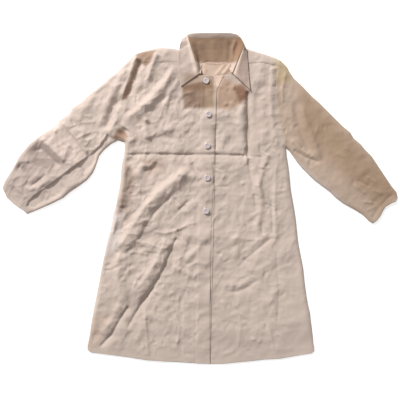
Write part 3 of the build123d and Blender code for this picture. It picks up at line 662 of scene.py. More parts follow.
def build(name, points, faces, material, angle=0.0, toned=True, shade=None):
    """A mesh from points in millimetres.  Its texture runs in metres along the cloth's grain."""
    points = np.asarray(points, float)
    mesh = bpy.data.meshes.new(name)
    mesh.from_pydata((points / 1000.0).tolist(), [], np.asarray(faces).tolist())
    mesh.update()
    co, si = math.cos(angle), math.sin(angle)
    flat = np.stack([points[:, 0] * co + points[:, 1] * si, -points[:, 0] * si + points[:, 1] * co], -1)
    # walls that stand up keep a stretch of texture too
    flat[:, 1] += points[:, 2] * 0.7
    layer = mesh.uv_layers.new(name="UVMap")
    loop_vertex = np.zeros(len(mesh.loops), np.int32)
    mesh.loops.foreach_get("vertex_index", loop_vertex)
    layer.data.foreach_set("uv", (flat[loop_vertex] / 1000.0).astype(np.float32).ravel())
    # the tone attribute: painted shade and painted highlights from tone() and shade, with a few other tints
    colour = np.ones((len(points), 4), np.float32)
    if toned:
        colour[:, :3] = tone(points[:, 0] / CELL + U0, V0 - points[:, 1] / CELL, points[:, 2])
    if shade is not None:
        colour[:, :3] *= np.asarray(shade, np.float32)
    attr = mesh.color_attributes.new(name="tone", type="FLOAT_COLOR", domain="POINT")
    attr.data.foreach_set("color", colour.ravel())
    mesh.polygons.foreach_set("use_smooth", np.ones(len(mesh.polygons), bool))
    obj = bpy.data.objects.new(name, mesh)
    bpy.context.scene.collection.objects.link(obj)
    obj.data.materials.append(material)
    return obj


def upward(points, faces, sample):
    """Turns the faces over if those in sample look down."""
    p = np.asarray(points)
    f = np.asarray(faces)
    q = f[sample]
    n = np.cross(p[q[:, 1]] - p[q[:, 0]], p[q[:, 2]] - p[q[:, 0]])[:, 2].sum()
    return f if n > 0 else f[:, ::-1]


EDGE_STEPS = np.array([0, 0.7, 1.8, 3.4, 5.6, 8.4, 11.6])


def spread(width, count, first=True, last=True):
    """Column places from 0 to 1 across a row of that width in mm, closer near the rolled edges."""
    steps = EDGE_STEPS * min(1.0, width / 70.0)
    low = steps / width if first else np.array([0.0])
    high = 1 - (steps / width)[::-1] if last else np.array([1.0])
    middle = np.linspace(low[-1], high[0], count - len(low) - len(high) + 2)[1:-1]
    return np.concatenate([low, middle, high])


def rows_between(pairs, step):
    """Rows from (left end, right end) pairs, filled in to about that step in cells."""
    a = np.array([p[0] for p in pairs], float)
    b = np.array([p[1] for p in pairs], float)
    out_a, out_b = [a[0]], [b[0]]
    for i in range(len(pairs) - 1):
        far = max(np.hypot(*(a[i + 1] - a[i])), np.hypot(*(b[i + 1] - b[i])))
        for k in range(1, max(1, int(round(far / step))) + 1):
            t = k / max(1, int(round(far / step)))
            out_a.append(a[i] + (a[i + 1] - a[i]) * t)
            out_b.append(b[i] + (b[i + 1] - b[i]) * t)
    return np.array(out_a), np.array(out_b)


def side_at(line, v):
    p = np.array(line)
    return float(np.interp(v, p[:, 1], p[:, 0]))


def hem_curve(u):
    p = np.array(HEM)
    return np.interp(u, p[:, 0], p[:, 1])


# the four hem rows that turn under: distance back from the edge, drop of the ply
TURN = [(0.25, 0.55), (0.9, 1.15), (2.4, 1.25), (4.2, 1.25), (5.9, 1.2)]


def front(name, pairs, count, first, last, offset=0.0):
    """A front panel from the yoke to a turned hem."""
    a, b = rows_between(pairs, 0.85)
    rows = []
    n = len(a)
    bottom = a[-1][1]
    for i in range(n):
        width = np.hypot(*(b[i] - a[i])) * CELL
        t = spread(width, count, first, last)[:, None]
        row = a[i] + (b[i] - a[i]) * t
        k = float(smooth((a[i][1] - 300) / (bottom - 300)))
        if k > 0:
            straight = a[-1] + (b[-1] - a[-1]) * t
            row[:, 1] += k * (hem_curve(straight[:, 0]) - straight[:, 1])
        rows.append(row)
    grid = np.array(rows)
    z = height(grid[..., 0], grid[..., 1]) + offset
    top = np.concatenate([mm(grid), z[..., None]], -1)
    hem_rows = []
    edge = grid[-1]
    for back, drop in TURN:
        under = edge.copy()
        under[:, 1] = edge[:, 1] - back + 0.25 if back > 0.3 else edge[:, 1] + 0.12
        zz = np.maximum(height(under[:, 0], under[:, 1]) + offset - drop, 0.7)
        hem_rows.append(np.concatenate([mm(under), zz[:, None]], -1))
    points = np.concatenate([top, np.array(hem_rows)], 0)
    faces = grid_faces(points.shape[0], points.shape[1])
    return points.reshape(-1, 3), faces, points.shape


def ride_all(objs, body):
    for o in objs:
        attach(o, body)


def m3(p, z):
    return (p[0] / 1000.0, p[1] / 1000.0, z / 1000.0)


def zone(line, z, begin, stop, side):
    """Two points either side of a fold line, at right angles to it, for a blend."""
    (ax, ay), (bx, by) = line
    size = math.hypot(bx - ax, by - ay)
    nx, ny = -(by - ay) / size * side, (bx - ax) / size * side
    cx, cy = (ax + bx) / 2, (ay + by) / 2
    return (m3((cx + nx * begin, cy + ny * begin), z), m3((cx + nx * stop, cy + ny * stop), z))


# ------------------------------------------------------------------ fronts
R_PAIRS = [((135.0, 62.0), (181.5, 61.6)), ((133.6, 69), (187, 67.5)), ((132, 74), (196.5, 75.4)),
           ((130.2, 78), (201.4, 76)), ((128, 84.5), (201.2, 88)), ((123.6, 99), (200.9, 103)),
           ((121.6, 115), (200.6, 118)), ((122.5, 130), (200.2, 131)), ((124.5, 142.5), (200, 142.5))]
R_PAIRS += [((u, v), (201.5 - (v - 76) * 6 / 287, v)) for u, v in R_SIDE[1:-1]]
R_PAIRS += [((87.3, 350), (195.4, 363.2))]
pts, faces, shape_r = front("right_front_cloth", R_PAIRS, 142, True, False)
right_front = build("right_front_cloth", pts, faces, M_BODY)
RF_AREA = 0.0

L_PAIRS = [((243.2, 62.0), (280.0, 64.5)), ((238.5, 69), (278.2, 69)), ((233, 73), (277.2, 72)),
           ((222, 75.9), (276.6, 77)), ((206.0, 76.5), (276.2, 81)), ((206, 81), (276, 86)),
           ((206, 88), (276, 91)), ((206, 96), (276.1, 97)), ((205.9, 104), (276.8, 104)),
           ((205.8, 112), (277.5, 112)), ((205.4, 130), (282, 130)), ((205.2, 148.5), (286.3, 148.5))]
L_PAIRS += [((206 - (v - 76) * 5 / 287, v), (u, v)) for u, v in L_SIDE[1:-1]]
L_PAIRS += [((200.8, 363.6), (314.5, 351.5))]
pts, faces, shape_l = front("left_front_cloth", L_PAIRS, 108, False, True, offset=-0.5)
left_front = build("left_front_cloth", pts, faces, M_BODY)


# ------------------------------------------------------------------ placket and button band
def strip(name, lines, rows_v, lift, thick, material, columns, holes=False, top_rows=None):
    """A folded strip of two plies with rounded edges, lying on the front.  lines(v) gives its
    left and right edge, and holes leaves the buttonholes open."""
    grid = []
    for v in rows_v:
        (ul, vl), (ur, vr) = lines(v)
        row = []
        for c in columns:
            if isinstance(c, str):
                mid = np.interp(v, [p[1] for p in PLACKET_MID], [p[0] for p in PLACKET_MID])
                half = 0.06
                for bu, bv in BUTTONS:
                    s = (v - bv) * CELL / 9.5
                    if abs(s) < 1:
                        half = max(half, 1.9 * math.sqrt(1 - s * s) / CELL)
                u = mid - half if c == "-" else mid + half
                f = (u - ul) / (ur - ul)
            else:
                f = c
            row.append((ul + (ur - ul) * f, vl + (vr - vl) * f))
        grid.append(row)
    grid = np.array(grid)
    z = height(grid[..., 0], grid[..., 1])
    if holes:
        share = (grid[..., 0] - grid[:, :1, 0]) / (grid[:, -1:, 0] - grid[:, :1, 0])
        z = z - 0.3 * smooth((share - 0.72) / 0.28) - 0.3 * smooth((0.14 - share) / 0.14)
        z = z + 2.4 * smooth((share - 0.45) / 0.55) * np.exp(-((grid[..., 1] - 292) / 8) ** 2)
    rows, cols = z.shape
    rim = np.zeros((rows, cols), bool)
    rim[0], rim[-1], rim[:, 0], rim[:, -1] = True, True, True, True
    top = np.concatenate([mm(grid), (z + lift + thick - np.where(rim, thick * 0.42, 0))[..., None]], -1)
    low = np.concatenate([mm(grid), (z + lift + np.where(rim, thick * 0.42, 0))[..., None]], -1)
    faces_top = grid_faces(rows, cols)
    faces_low = grid_faces(rows, cols, rows * cols, flip=True)
    if holes:
        hole_col = [i for i, c in enumerate(columns) if c == "-"][0]
        centre = np.array([(rows_v[r] + rows_v[r + 1]) / 2 for r in range(rows - 1)])
        gone = np.zeros((rows - 1, cols - 1), bool)
        for bu, bv in BUTTONS:
            gone[np.abs(centre - bv) * CELL < 9.4, hole_col] = True
        keep = ~gone.ravel()
        faces_top, faces_low = faces_top[keep], faces_low[keep]
        inner = []
        n = rows * cols
        for r, c in zip(*np.nonzero(gone)):
            a, b, d, e = r * cols + c, (r + 1) * cols + c, (r + 1) * cols + c + 1, r * cols + c + 1
            inner.append((b, a, a + n, b + n))
            inner.append((e, d, d + n, e + n))
            if not gone[r - 1, c]:
                inner.append((a, e, e + n, a + n))
            if not gone[r + 1, c]:
                inner.append((d, b, b + n, d + n))
    n = rows * cols
    ring = ([c for c in range(cols)] + [r * cols + cols - 1 for r in range(1, rows)]
            + [(rows - 1) * cols + c for c in range(cols - 2, -1, -1)]
            + [r * cols for r in range(rows - 2, 0, -1)])
    walls = [(ring[i], ring[(i + 1) % len(ring)], ring[(i + 1) % len(ring)] + n, ring[i] + n) for i in range(len(ring))]
    faces = np.concatenate([faces_top, faces_low, np.array(walls)] + ([np.array(inner)] if holes else []), 0)
    points = np.concatenate([top.reshape(-1, 3), low.reshape(-1, 3)], 0)
    return build(name, points, faces, material)


def placket_lines(v):
    seam = 201.0 - (v - 75.8) * 5.5 / 287.6
    if v < 88.3:
        free = 212.5 + (v - 75.8) * 4.5 / 12.5
    else:
        free = np.interp(v, [88.3, 130, 165, 178, 230, 300, 363.5], [217.0, 215.6, 214.4, 213.8, 211.2, 210.2, 210.2])
    tilt = 0.6 if v > 350 else 0.0
    return (seam, v), (free, v + tilt)


hole_rows = []
for bu, bv in BUTTONS:
    hole_rows += [bv + k / CELL for k in (-9.45, -9.0, -8, -6.5, -4.5, -2, 0, 2, 4.5, 6.5, 8, 9.0, 9.45)]
rows_v = sorted(set(np.round(np.concatenate([
    [75.8, 76.1, 76.8], np.arange(78, 363, 1.3), [362.6, 363.3, 363.6], hole_rows]), 3)))
cols = [0.0, 0.035, 0.11, 0.2, 0.28, "-", "+", 0.62, 0.72, 0.82, 0.91, 0.968, 1.0]
placket = strip("buttonhole_placket_cloth", placket_lines, rows_v, 0.3, 0.9, M_COLLAR, cols, holes=True)


def band_lines(v):
    edge = 204.1 - (v - 75.9) * 6.1 / 288.0
    if v < 90:
        seam = 224.0 - (v - 75.9) * 7.0 / 14.1
    else:
        seam = 217.0 - (v - 90) * 6.5 / 273.5
    return (edge, v), (seam, v)


rows_b = np.concatenate([[75.9, 76.2, 77.0], np.arange(78.5, 362.5, 1.6), [363.0, 363.6]])
band = strip("button_band_cloth", band_lines, list(rows_b), -0.45, 0.6, M_COLLAR,
             [0.0, 0.04, 0.12, 0.25, 0.4, 0.55, 0.7, 0.84, 0.95, 1.0])


# ------------------------------------------------------------------ back and yoke
def back_height(U, V):
    edge = np.full(U.shape, 1e9)
    for line in (R_SIDE, L_SIDE):
        edge = np.minimum(edge, nearest(U, V, line)[0])
    edge *= CELL
    x, y = U * CELL, V * CELL
    return 0.7 + 1.3 * np.exp(-edge / 2.2) + 0.5 * noise(x / 40, y / 44, 5) + 0.4 * ridged(x / 19, y / 23, 6) ** 3


B_PAIRS = [((123.2, YOKE_V), (276.6, YOKE_V)), ((121.5, 115), (277.8, 115)), ((122.5, 130), (282, 130)),
           ((124.5, 142.5), (286.0, 147.5))]
B_PAIRS += [((side_at(R_SIDE, v), v), (side_at(L_SIDE, max(v, 148.5)), v)) for v in range(150, 348, 6)]
B_PAIRS += [((87.3, 350), (314.5, 351.5))]
a, b = rows_between(B_PAIRS, 2.2)
rows = []
for i in range(len(a)):
    t = spread(np.hypot(*(b[i] - a[i])) * CELL, 92)[:, None]
    row = a[i] + (b[i] - a[i]) * t
    k = float(smooth((a[i][1] - 300) / 50.0))
    if k > 0:
        straight = a[-1] + (b[-1] - a[-1]) * t
        row[:, 1] += k * (hem_curve(straight[:, 0]) - straight[:, 1])
    rows.append(row)
grid = np.array(rows)
z = back_height(grid[..., 0], grid[..., 1])
top = np.concatenate([mm(grid), z[..., None]], -1)
turned = []
for back, rise in [(-0.1, 0.5), (0.7, 0.95), (2.4, 1.0), (4.2, 1.0), (5.8, 0.95)]:
    under = grid[-1].copy()
    under[:, 1] -= back
    turned.append(np.concatenate([mm(under), (back_height(under[:, 0], under[:, 1]) + rise)[:, None]], -1))
points = np.concatenate([top, np.array(turned)], 0)
back = build("back_cloth", points.reshape(-1, 3), grid_faces(*points.shape[:2]), M_INSIDE)

# yoke: the back ply, carried over both shoulders to its seam with the fronts
crown = R_TOP[:7][::-1] + NECK[1:-1] + L_TOP[:5]
t = np.linspace(0, 1, 150)
crown_p = along([(135.6, 54.0)] + crown[1:], t)
foot = np.stack([np.interp(t, [0, 1], [123.2, 276.6]), np.full(len(t), YOKE_V + 0.6)], -1)
rows = []
for s in np.concatenate([[0, 0.012, 0.03, 0.06], np.linspace(0.1, 1, 30)]):
    rows.append(crown_p + (foot - crown_p) * s)
grid = np.array(rows)
x, y = grid[..., 0] * CELL, grid[..., 1] * CELL
near_crown = nearest(grid[..., 0], grid[..., 1], crown)[0] * CELL
on_neck = smooth((grid[..., 0] - 184) / 8) * smooth((242 - grid[..., 0]) / 6)
rest = 0.9 + 0.5 * noise(x / 36, y / 40, 7)
z = rest + (1.4 + 2.4 * on_neck) * np.exp(-near_crown / (3 + 9 * on_neck))
for line, h, w in [([(222, 75), (228, 68), (232, 62)], 2.4, 1.7), ([(214, 76), (221, 69), (226, 63)], 1.6, 1.6),
                   ([(203, 76), (205, 69), (203, 63)], 1.6, 1.8)]:
    d, side, run, total = nearest(grid[..., 0], grid[..., 1], line)
    z += h * np.exp(-(d / w) ** 2) * smooth(run / 3) * smooth((total - run) / 3)
# painted light: the inside of the yoke lightened against the collar's shade
yoke_back = build("back_yoke_cloth", np.concatenate([mm(grid), z[..., None]], -1).reshape(-1, 3),
                  grid_faces(*grid.shape[:2]), M_INSIDE, shade=(1.13, 1.09, 1.05))


def shoulder(name, top_line, seam_line):
    t = np.linspace(0, 1, 52)
    high, low = along(top_line, t), along(seam_line, t)
    rows = []
    for s in np.concatenate([[0, 0.02, 0.055, 0.11, 0.18], np.linspace(0.26, 0.985, 11), [1.0, 1.0]]):
        rows.append(high + (low - high) * s)
    grid = np.array(rows)
    z = height(grid[..., 0], grid[..., 1]) + 0.3
    z[0] -= 0.3
    z[1] -= 0.15
    z[-2] = z[-3] - 0.1
    grid[-1] += (low - high) * 0.004
    z[-1] = z[-2] - 0.6
    pts = np.concatenate([mm(grid), z[..., None]], -1)
    f = upward(pts.reshape(-1, 3), grid_faces(*grid.shape[:2]), slice(0, 400))
    return build(name, pts.reshape(-1, 3), f, M_BODY)


yoke_r = shoulder("right_shoulder_yoke_cloth", R_TOP[:6] + [(135.6, 54.2)],
                  [(187.5, 63.6), (181, 62.6), (171, 62.2), (158, 62.8), (134.8, 63.2)])
yoke_l = shoulder("left_shoulder_yoke_cloth", [(243.5, 50.5)] + L_TOP[:5],
                  [(238.5, 63.8), (247, 63.4), (262, 63.0), (279.2, 66.2)])


# ------------------------------------------------------------------ sleeves
def sleeve_rows(top_a, top_b, under_a, under_b, count):
    """Ends of the rows of one stretch of sleeve, by length along its two edges."""
    t = np.linspace(0, 1, count)
    return along(top_a + top_b, t), along(under_a + under_b, t)


def cut(line, at, before):
    """The part of an outline before or after its point nearest to at."""
    p = np.array(line, float)
    s = arc(p)
    n = nearest(np.array([at[0]]), np.array([at[1]]), [tuple(q) for q in p])
    run = float(n[2][0])
    q = along(line, [run / s[-1]])[0]
    if before:
        return [tuple(x) for x, d in zip(p, s) if d < run - 0.3] + [tuple(q)]
    return [tuple(q)] + [tuple(x) for x, d in zip(p, s) if d > run + 0.3]


def sleeve(name, tops, unders, bow_start, bow_end, rows, material, angle, cuffed, tuck):
    """A flattened tube of cloth.  bow_start and bow_end are the curves of its first and last row."""
    t_pts, u_pts = along(tops, np.linspace(0, 1, rows)), along(unders, np.linspace(0, 1, rows))
    top_count, low_count = 84, 26

    def bow(curve, t):
        line = along(curve, t)
        straight = np.array(curve[0]) + (np.array(curve[-1]) - np.array(curve[0])) * t[:, None]
        return line - straight

    def ring(a, b, k0, k1, inset=0.0, drop=0.0, rise=0.0, lower=0.0):
        width = np.hypot(*(b - a)) * CELL
        t = spread(width, top_count)
        if inset:
            t = inset / width + t * (1 - 2 * inset / width)
        across = a + (b - a) * t[:, None]
        if k0 > 0:
            across = across + k0 * bow(bow_start, t)
        if k1 > 0:
            across = across + k1 * bow(bow_end, t)
        z = height(across[:, 0], across[:, 1]) - drop - lower
        tl = spread(width, low_count + 2)[1:-1][::-1]
        if inset:
            tl = inset / width + tl * (1 - 2 * inset / width)
        below = a + (b - a) * tl[:, None]
        if k0 > 0:
            below = below + k0 * bow(bow_start, tl)
        if k1 > 0:
            below = below + k1 * bow(bow_end, tl)
        reach = np.minimum(tl, 1 - tl) * width
        zl = 0.7 + 1.4 * np.exp(-reach / 1.6) + rise + 0.4 * noise(below[:, 0] / 12, below[:, 1] / 12, 8)
        return np.concatenate([np.concatenate([mm(across), z[:, None]], -1),
                               np.concatenate([mm(below), zl[:, None]], -1)], 0)

    rings = []
    for i in range(rows):
        s = i / (rows - 1)
        k0 = float(1 - smooth(s / 0.75)) if bow_start else 0.0
        k1 = float(smooth((s - 0.6) / 0.4)) if bow_end else 0.0
        rings.append(ring(t_pts[i], u_pts[i], k0, k1))
    if tuck:
        inward = np.array(tuck)
        first = ring(t_pts[0] + inward, u_pts[0] + inward, 1.0 if bow_start else 0.0, 0.0, lower=1.0)
        rings.insert(0, first)
    if cuffed:
        back_t, back_u = t_pts[-1] - t_pts[-4], u_pts[-1] - u_pts[-4]
        back_t, back_u = back_t / np.hypot(*back_t), back_u / np.hypot(*back_u)
        for far, inset, drop, rise in [(-0.12, 0.4, 0.5, 0.4), (0.7, 1.1, 1.15, 0.95), (2.4, 1.4, 1.2, 1.0),
                                       (4.2, 1.4, 1.2, 1.0), (5.8, 1.4, 1.15, 1.0)]:
            rings.append(ring(t_pts[-1] - back_t * far, u_pts[-1] - back_u * far, 0.0, 1.0, inset, drop, rise))
    rings = np.array(rings)
    n, m = rings.shape[:2]
    faces = []
    r, c = np.meshgrid(np.arange(n - 1), np.arange(m), indexing="ij")
    a = (r * m + c).ravel()
    b = (r * m + (c + 1) % m).ravel()
    faces = np.stack([a, a + m, b + m, b], -1)
    look = np.nonzero((c.ravel() < top_count - 1) & (r.ravel() > 3) & (r.ravel() < rows - 3))[0]
    faces = upward(rings.reshape(-1, 3), faces, look)
    return build(name, rings.reshape(-1, 3), faces, material, angle=angle)


R_EL_T, R_EL_U = (62.0, 122.0), (96.6, 163.0)
L_EL_T, L_EL_U = (338.0, 121.0), (303.0, 168.6)
R_T = [(135.6, 54.0)] + R_TOP[7:]
L_T = [(280.4, 60.2)] + L_TOP[5:]
R_U, L_U = R_UNDER, L_UNDER

r_upper = sleeve("right_sleeve_upper_cloth", cut(R_T, R_EL_T, True), cut(R_U, R_EL_U, True), R_ARMHOLE, None,
                 84, M_SLEEVE, math.radians(43), False, (0.9, 0.0))
r_lower = sleeve("right_sleeve_lower_cloth", cut(R_T, R_EL_T, False), cut(R_U, R_EL_U, False), None, R_CUFF,
                 104, M_SLEEVE, math.radians(43), True, None)
l_upper = sleeve("left_sleeve_upper_cloth", cut(L_T, L_EL_T, True), cut(L_U, L_EL_U, True), L_ARMHOLE, None,
                 76, M_SLEEVE, math.radians(-45), False, (-0.9, 0.0))
l_lower = sleeve("left_sleeve_lower_cloth", cut(L_T, L_EL_T, False), cut(L_U, L_EL_U, False), None, L_CUFF,
                 84, M_SLEEVE, math.radians(-45), True, None)


# ------------------------------------------------------------------ collar
def roll_z(v):
    """Height of the collar along its roll, highest at the back of the neck."""
    return 14.2 + (74.0 - v) * 0.262


def closed_slab(name, grid, z, thick, material, shade=None, angle=0.0):
    rows, cols = z.shape
    rim = np.zeros((rows, cols), bool)
    rim[0], rim[-1], rim[:, 0], rim[:, -1] = True, True, True, True
    xy = mm(grid)
    top = np.concatenate([xy, (z - np.where(rim, thick * 0.4, 0))[..., None]], -1)
    low = np.concatenate([xy, (z - thick + np.where(rim, thick * 0.4, 0))[..., None]], -1)
    points = np.concatenate([top.reshape(-1, 3), low.reshape(-1, 3)], 0)
    n = rows * cols
    ft = upward(points, grid_faces(rows, cols), slice(0, None))
    fl = ft[:, ::-1] + n
    ring = ([c for c in range(cols)] + [r * cols + cols - 1 for r in range(1, rows)]
            + [(rows - 1) * cols + c for c in range(cols - 2, -1, -1)]
            + [r * cols for r in range(rows - 2, 0, -1)])
    walls = np.array([(ring[i], ring[(i + 1) % len(ring)], ring[(i + 1) % len(ring)] + n, ring[i] + n)
                      for i in range(len(ring))])
    # the wall runs the same way round as the top's border
    a, b2 = ft[0][0], ft[0][1]
    border = {(ring[i], ring[(i + 1) % len(ring)]) for i in range(len(ring))}
    edges = set()
    for q in ft:
        for k in range(4):
            edges.add((int(q[k]), int(q[(k + 1) % 4])))
    if any(e in edges for e in list(border)[:40]):
        walls = walls[:, ::-1]
    return build(name, points, np.concatenate([ft, fl, walls], 0), material, shade=shade, angle=angle)


FINE = np.array([0, 0.018, 0.045, 0.085, 0.14, 0.21, 0.29, 0.38, 0.48, 0.58, 0.68, 0.77, 0.85, 0.91, 0.955, 0.982, 1.0])


def leaf(name, roll, outer, bulges, shade, power, bead):
    """A collar leaf of two plies from its roll to its outer edge and point."""
    r = np.concatenate([[0, 0.01, 0.03], np.linspace(0.06, 0.94, 36), [0.97, 0.99, 1.0]])
    a, b = along(roll, r), along(outer, r)
    grid = a[:, None, :] + (b - a)[:, None, :] * FINE[None, :, None]
    base = height(grid[..., 0], grid[..., 1])
    q = FINE[None, :]
    zr = roll_z(a[:, 1])[:, None]
    zo = height(b[:, 0], b[:, 1])[:, None] + 3.4
    z = zo + (zr - zo) * (1 - q) ** power
    z += 0.9 * np.exp(-((q - 0.12) / 0.09) ** 2) - bead * np.exp(-(q / 0.07) ** 2)
    for line, h, w in bulges:
        d, side, run, total = nearest(grid[..., 0], grid[..., 1], line)
        z += h * np.exp(-(d / w) ** 2) * smooth(run / 2) * smooth((total - run) / 2)
    x, y = grid[..., 0] * CELL, grid[..., 1] * CELL
    z += 0.6 * (noise(x / 14, y / 17, 9) - 0.5) + 2.4 * (facets(x / 13, y / 15, 9) - 0.5) * smooth(q / 0.2)
    # raised edge ply and the sunk line where it is topstitched
    edge_d = nearest(grid[..., 0], grid[..., 1], outer + [roll[-1]])[0] * CELL
    z -= 0.45 * np.exp(-((edge_d - 5.5) / 0.9) ** 2)
    z = np.maximum(z, base + 2.7)
    # painted highlight along the roll, where the leaf turns up toward the light; shade darkens the leaf as painted
    # shade, the left leaf most
    roll_highlight = np.exp(-((q - 0.10) / 0.13) ** 2) * np.ones(z.shape)
    tint = (np.array(shade)[None, None, :] * (1 + 0.46 * roll_highlight[..., None])).reshape(-1, 3)
    obj = closed_slab(name, grid, z, 2.1, M_COLLAR, shade=np.concatenate([tint, tint]), angle=math.radians(20))
    return obj, grid, z


R_ROLL = [(187.6, 36.4), (191.5, 49), (195.6, 62), (199.0, 74.6)]
R_OUTER = [(182.0, 39.5), (180.3, 44), (178.2, 55), (177.6, 63), (178.8, 75), (181.0, 87.2)]
L_ROLL = [(244.0, 45.6), (240.2, 55), (236.2, 64.6), (232.4, 73.6)]
L_OUTER = [(246.6, 50.0), (247.4, 58), (248.0, 66), (249.0, 78), (250.3, 91.0)]
r_leaf, r_leaf_grid, r_leaf_z = leaf("right_collar_leaf", R_ROLL, R_OUTER,
                                     [([(184, 42), (181, 60), (184, 84)], -0.8, 1.4),
                                      ([(183, 74), (190, 71), (198, 73)], 1.1, 2.4)], (0.93, 0.92, 0.91), 1.9, 1.0)
l_leaf, l_leaf_grid, l_leaf_z = leaf("left_collar_leaf", L_ROLL, L_OUTER,
                                     [([(243, 60), (240, 70), (244, 84)], -0.8, 1.8)], (0.84, 0.79, 0.76), 1.1, 3.0)

# inside of the collar at the back of the neck, its rim, and the fall behind it
RIM = [(187.6, 36.4), (190, 35.3), (196, 34.8), (205, 34.6), (218, 34.5), (230, 34.6), (237, 36.2), (241, 40), (244.0, 45.6)]
NECKLINE = [(199.0, 74.4), (199.8, 69), (202.5, 65.5), (208, 64.2), (216, 64.9), (225, 64.3), (229.5, 65.6), (231.6, 69.5), (232.4, 73.4)]
tc = np.concatenate([[0, 0.008, 0.025, 0.05, 0.08], np.linspace(0.115, 0.885, 46), [0.92, 0.95, 0.975, 0.992, 1.0]])
rim, base_line = along(RIM, tc), along(NECKLINE, tc)
mid_share = smooth(tc / 0.16) * smooth((1 - tc) / 0.16)
z_rim = roll_z(rim[:, 1]) + 0.0
z_neck = roll_z(base_line[:, 1]) * (1 - mid_share) + 3.4 * mid_share
rows, heights = [], []
behind = [(0.50, 1.2), (0.36, 1.5), (0.22, 2.6), (0.12, 7.0), (0.05, 13.0), (0.012, 19.0)]
for share, zz in behind:
    p = rim + (base_line - rim) * share
    rows.append(p)
    heights.append(np.minimum(zz, z_rim * zz / 24.5 + 0.4) + np.zeros(len(tc)))
rows.append(rim + (base_line - rim) * 0.0)
heights.append(z_rim - 1.6)
for s in np.concatenate([[0.012, 0.03, 0.06], np.linspace(0.1, 1, 30)]):
    p = rim + (base_line - rim) * s
    fall = s ** 0.85
    zz = z_rim + (z_neck - z_rim) * fall + 0.35 * math.exp(-((s - 0.05) / 0.04) ** 2)
    zz = zz - 2.2 * math.sin(math.pi * s) * mid_share
    zz = zz - 0.5 * math.exp(-((s - 0.52) / 0.02) ** 2)
    rows.append(p)
    heights.append(zz)
grid, z = np.array(rows), np.array(heights)
inside_rows = np.arange(len(rows)) >= len(behind) + 1
for line, h, w in [([(236, 40), (232.5, 50), (233, 63)], 3.4, 1.7), ([(230, 42), (229.5, 52), (229, 63)], -2.0, 2.2),
                   ([(198, 42), (201, 52), (207, 63)], 1.6, 3.0), ([(193, 44), (197, 56), (202, 63)], -1.6, 2.0),
                   ([(214, 40), (213, 50), (216, 62)], 1.1, 3.0), ([(222, 37), (224, 48), (221, 60)], -1.0, 3.0),
                   ([(207, 36), (213, 37.5), (221, 36.4)], 0.8, 1.8)]:
    d, side, run, total = nearest(grid[..., 0], grid[..., 1], line)
    z += np.where(inside_rows[:, None], h * np.exp(-(d / w) ** 2) * smooth(run / 4) * smooth((total - run) / 4), 0)
# painted shade on the inside of the collar, which faces away from the light, spared on a lit patch of the rim
shade = np.ones((grid.shape[0] * grid.shape[1], 3))
g = grid.reshape(-1, 2)
collar_inside_shade = smooth((g[:, 1] - 37) / 3) * smooth((64 - g[:, 1]) / 2.5)
lit = patch(g[:, 0], g[:, 1], [(198, 34), (213, 34), (212, 38.5), (200, 38.5)], 1.2)
shade *= 1 - collar_inside_shade[:, None] * np.array([0.35, 0.48, 0.60]) * (1 - lit[:, None])
# painted shade, browner, in the fold beside the left leaf
fold_shade_by_left_leaf = patch(g[:, 0], g[:, 1], [(235, 38), (244, 44), (240, 56), (235, 58)], 1.5)
shade *= 1 - fold_shade_by_left_leaf[:, None] * np.array([0.0, 0.10, 0.14])
# painted shade on the inside beside the right leaf
left_dark = patch(g[:, 0], g[:, 1], [(190, 43), (205, 45), (207, 60), (198, 62)], 2.0)
shade *= 1 - left_dark[:, None] * 0.12
pts = np.concatenate([mm(grid), z[..., None]], -1).reshape(-1, 3)
collar_back = build("collar_back_cloth", pts, upward(pts, grid_faces(*grid.shape[:2]), slice(600, None)), M_COLLAR, shade=shade)

# stand: the band sewn to the yoke round the whole neck; its top edge turns in under the collar
# and its ends run under the leaves
t = np.linspace(0.01, 0.99, 76)
line = along(NECKLINE, t)
course = along(NECKLINE, t + 0.01) - along(NECKLINE, t - 0.01)
course = course / np.hypot(course[:, 0], course[:, 1])[:, None]
outward = np.stack([-course[:, 1], course[:, 0]], -1)
share = smooth(t / 0.16) * smooth((1 - t) / 0.16)
seam_z = roll_z(line[:, 1]) * (1 - share) + 3.4 * share
shown = smooth((t - 0.05) / 0.07) * smooth((0.95 - t) / 0.07)
rows, heights = [], []
for down, lift in [(-2.7, -0.6), (-2.2, 0.5), (-1.8, 2.0), (-0.9, 1.5), (0.0, 0.6), (0.8, -0.4), (1.7, -0.9)]:
    rows.append(line + outward * down)
    heights.append(np.maximum(seam_z + lift * shown - 1.3 * (1 - shown), 2.1) + 0.25 * np.sin(t * 70) * shown)
grid, z = np.array(rows), np.array(heights)
pts = np.concatenate([mm(grid), z[..., None]], -1).reshape(-1, 3)
# painted shade: the stand darkened like the shaded inside of the collar
stand = build("collar_stand_cloth", pts, upward(pts, grid_faces(*grid.shape[:2]), slice(0, None)), M_COLLAR,
              shade=(0.9, 0.86, 0.82))


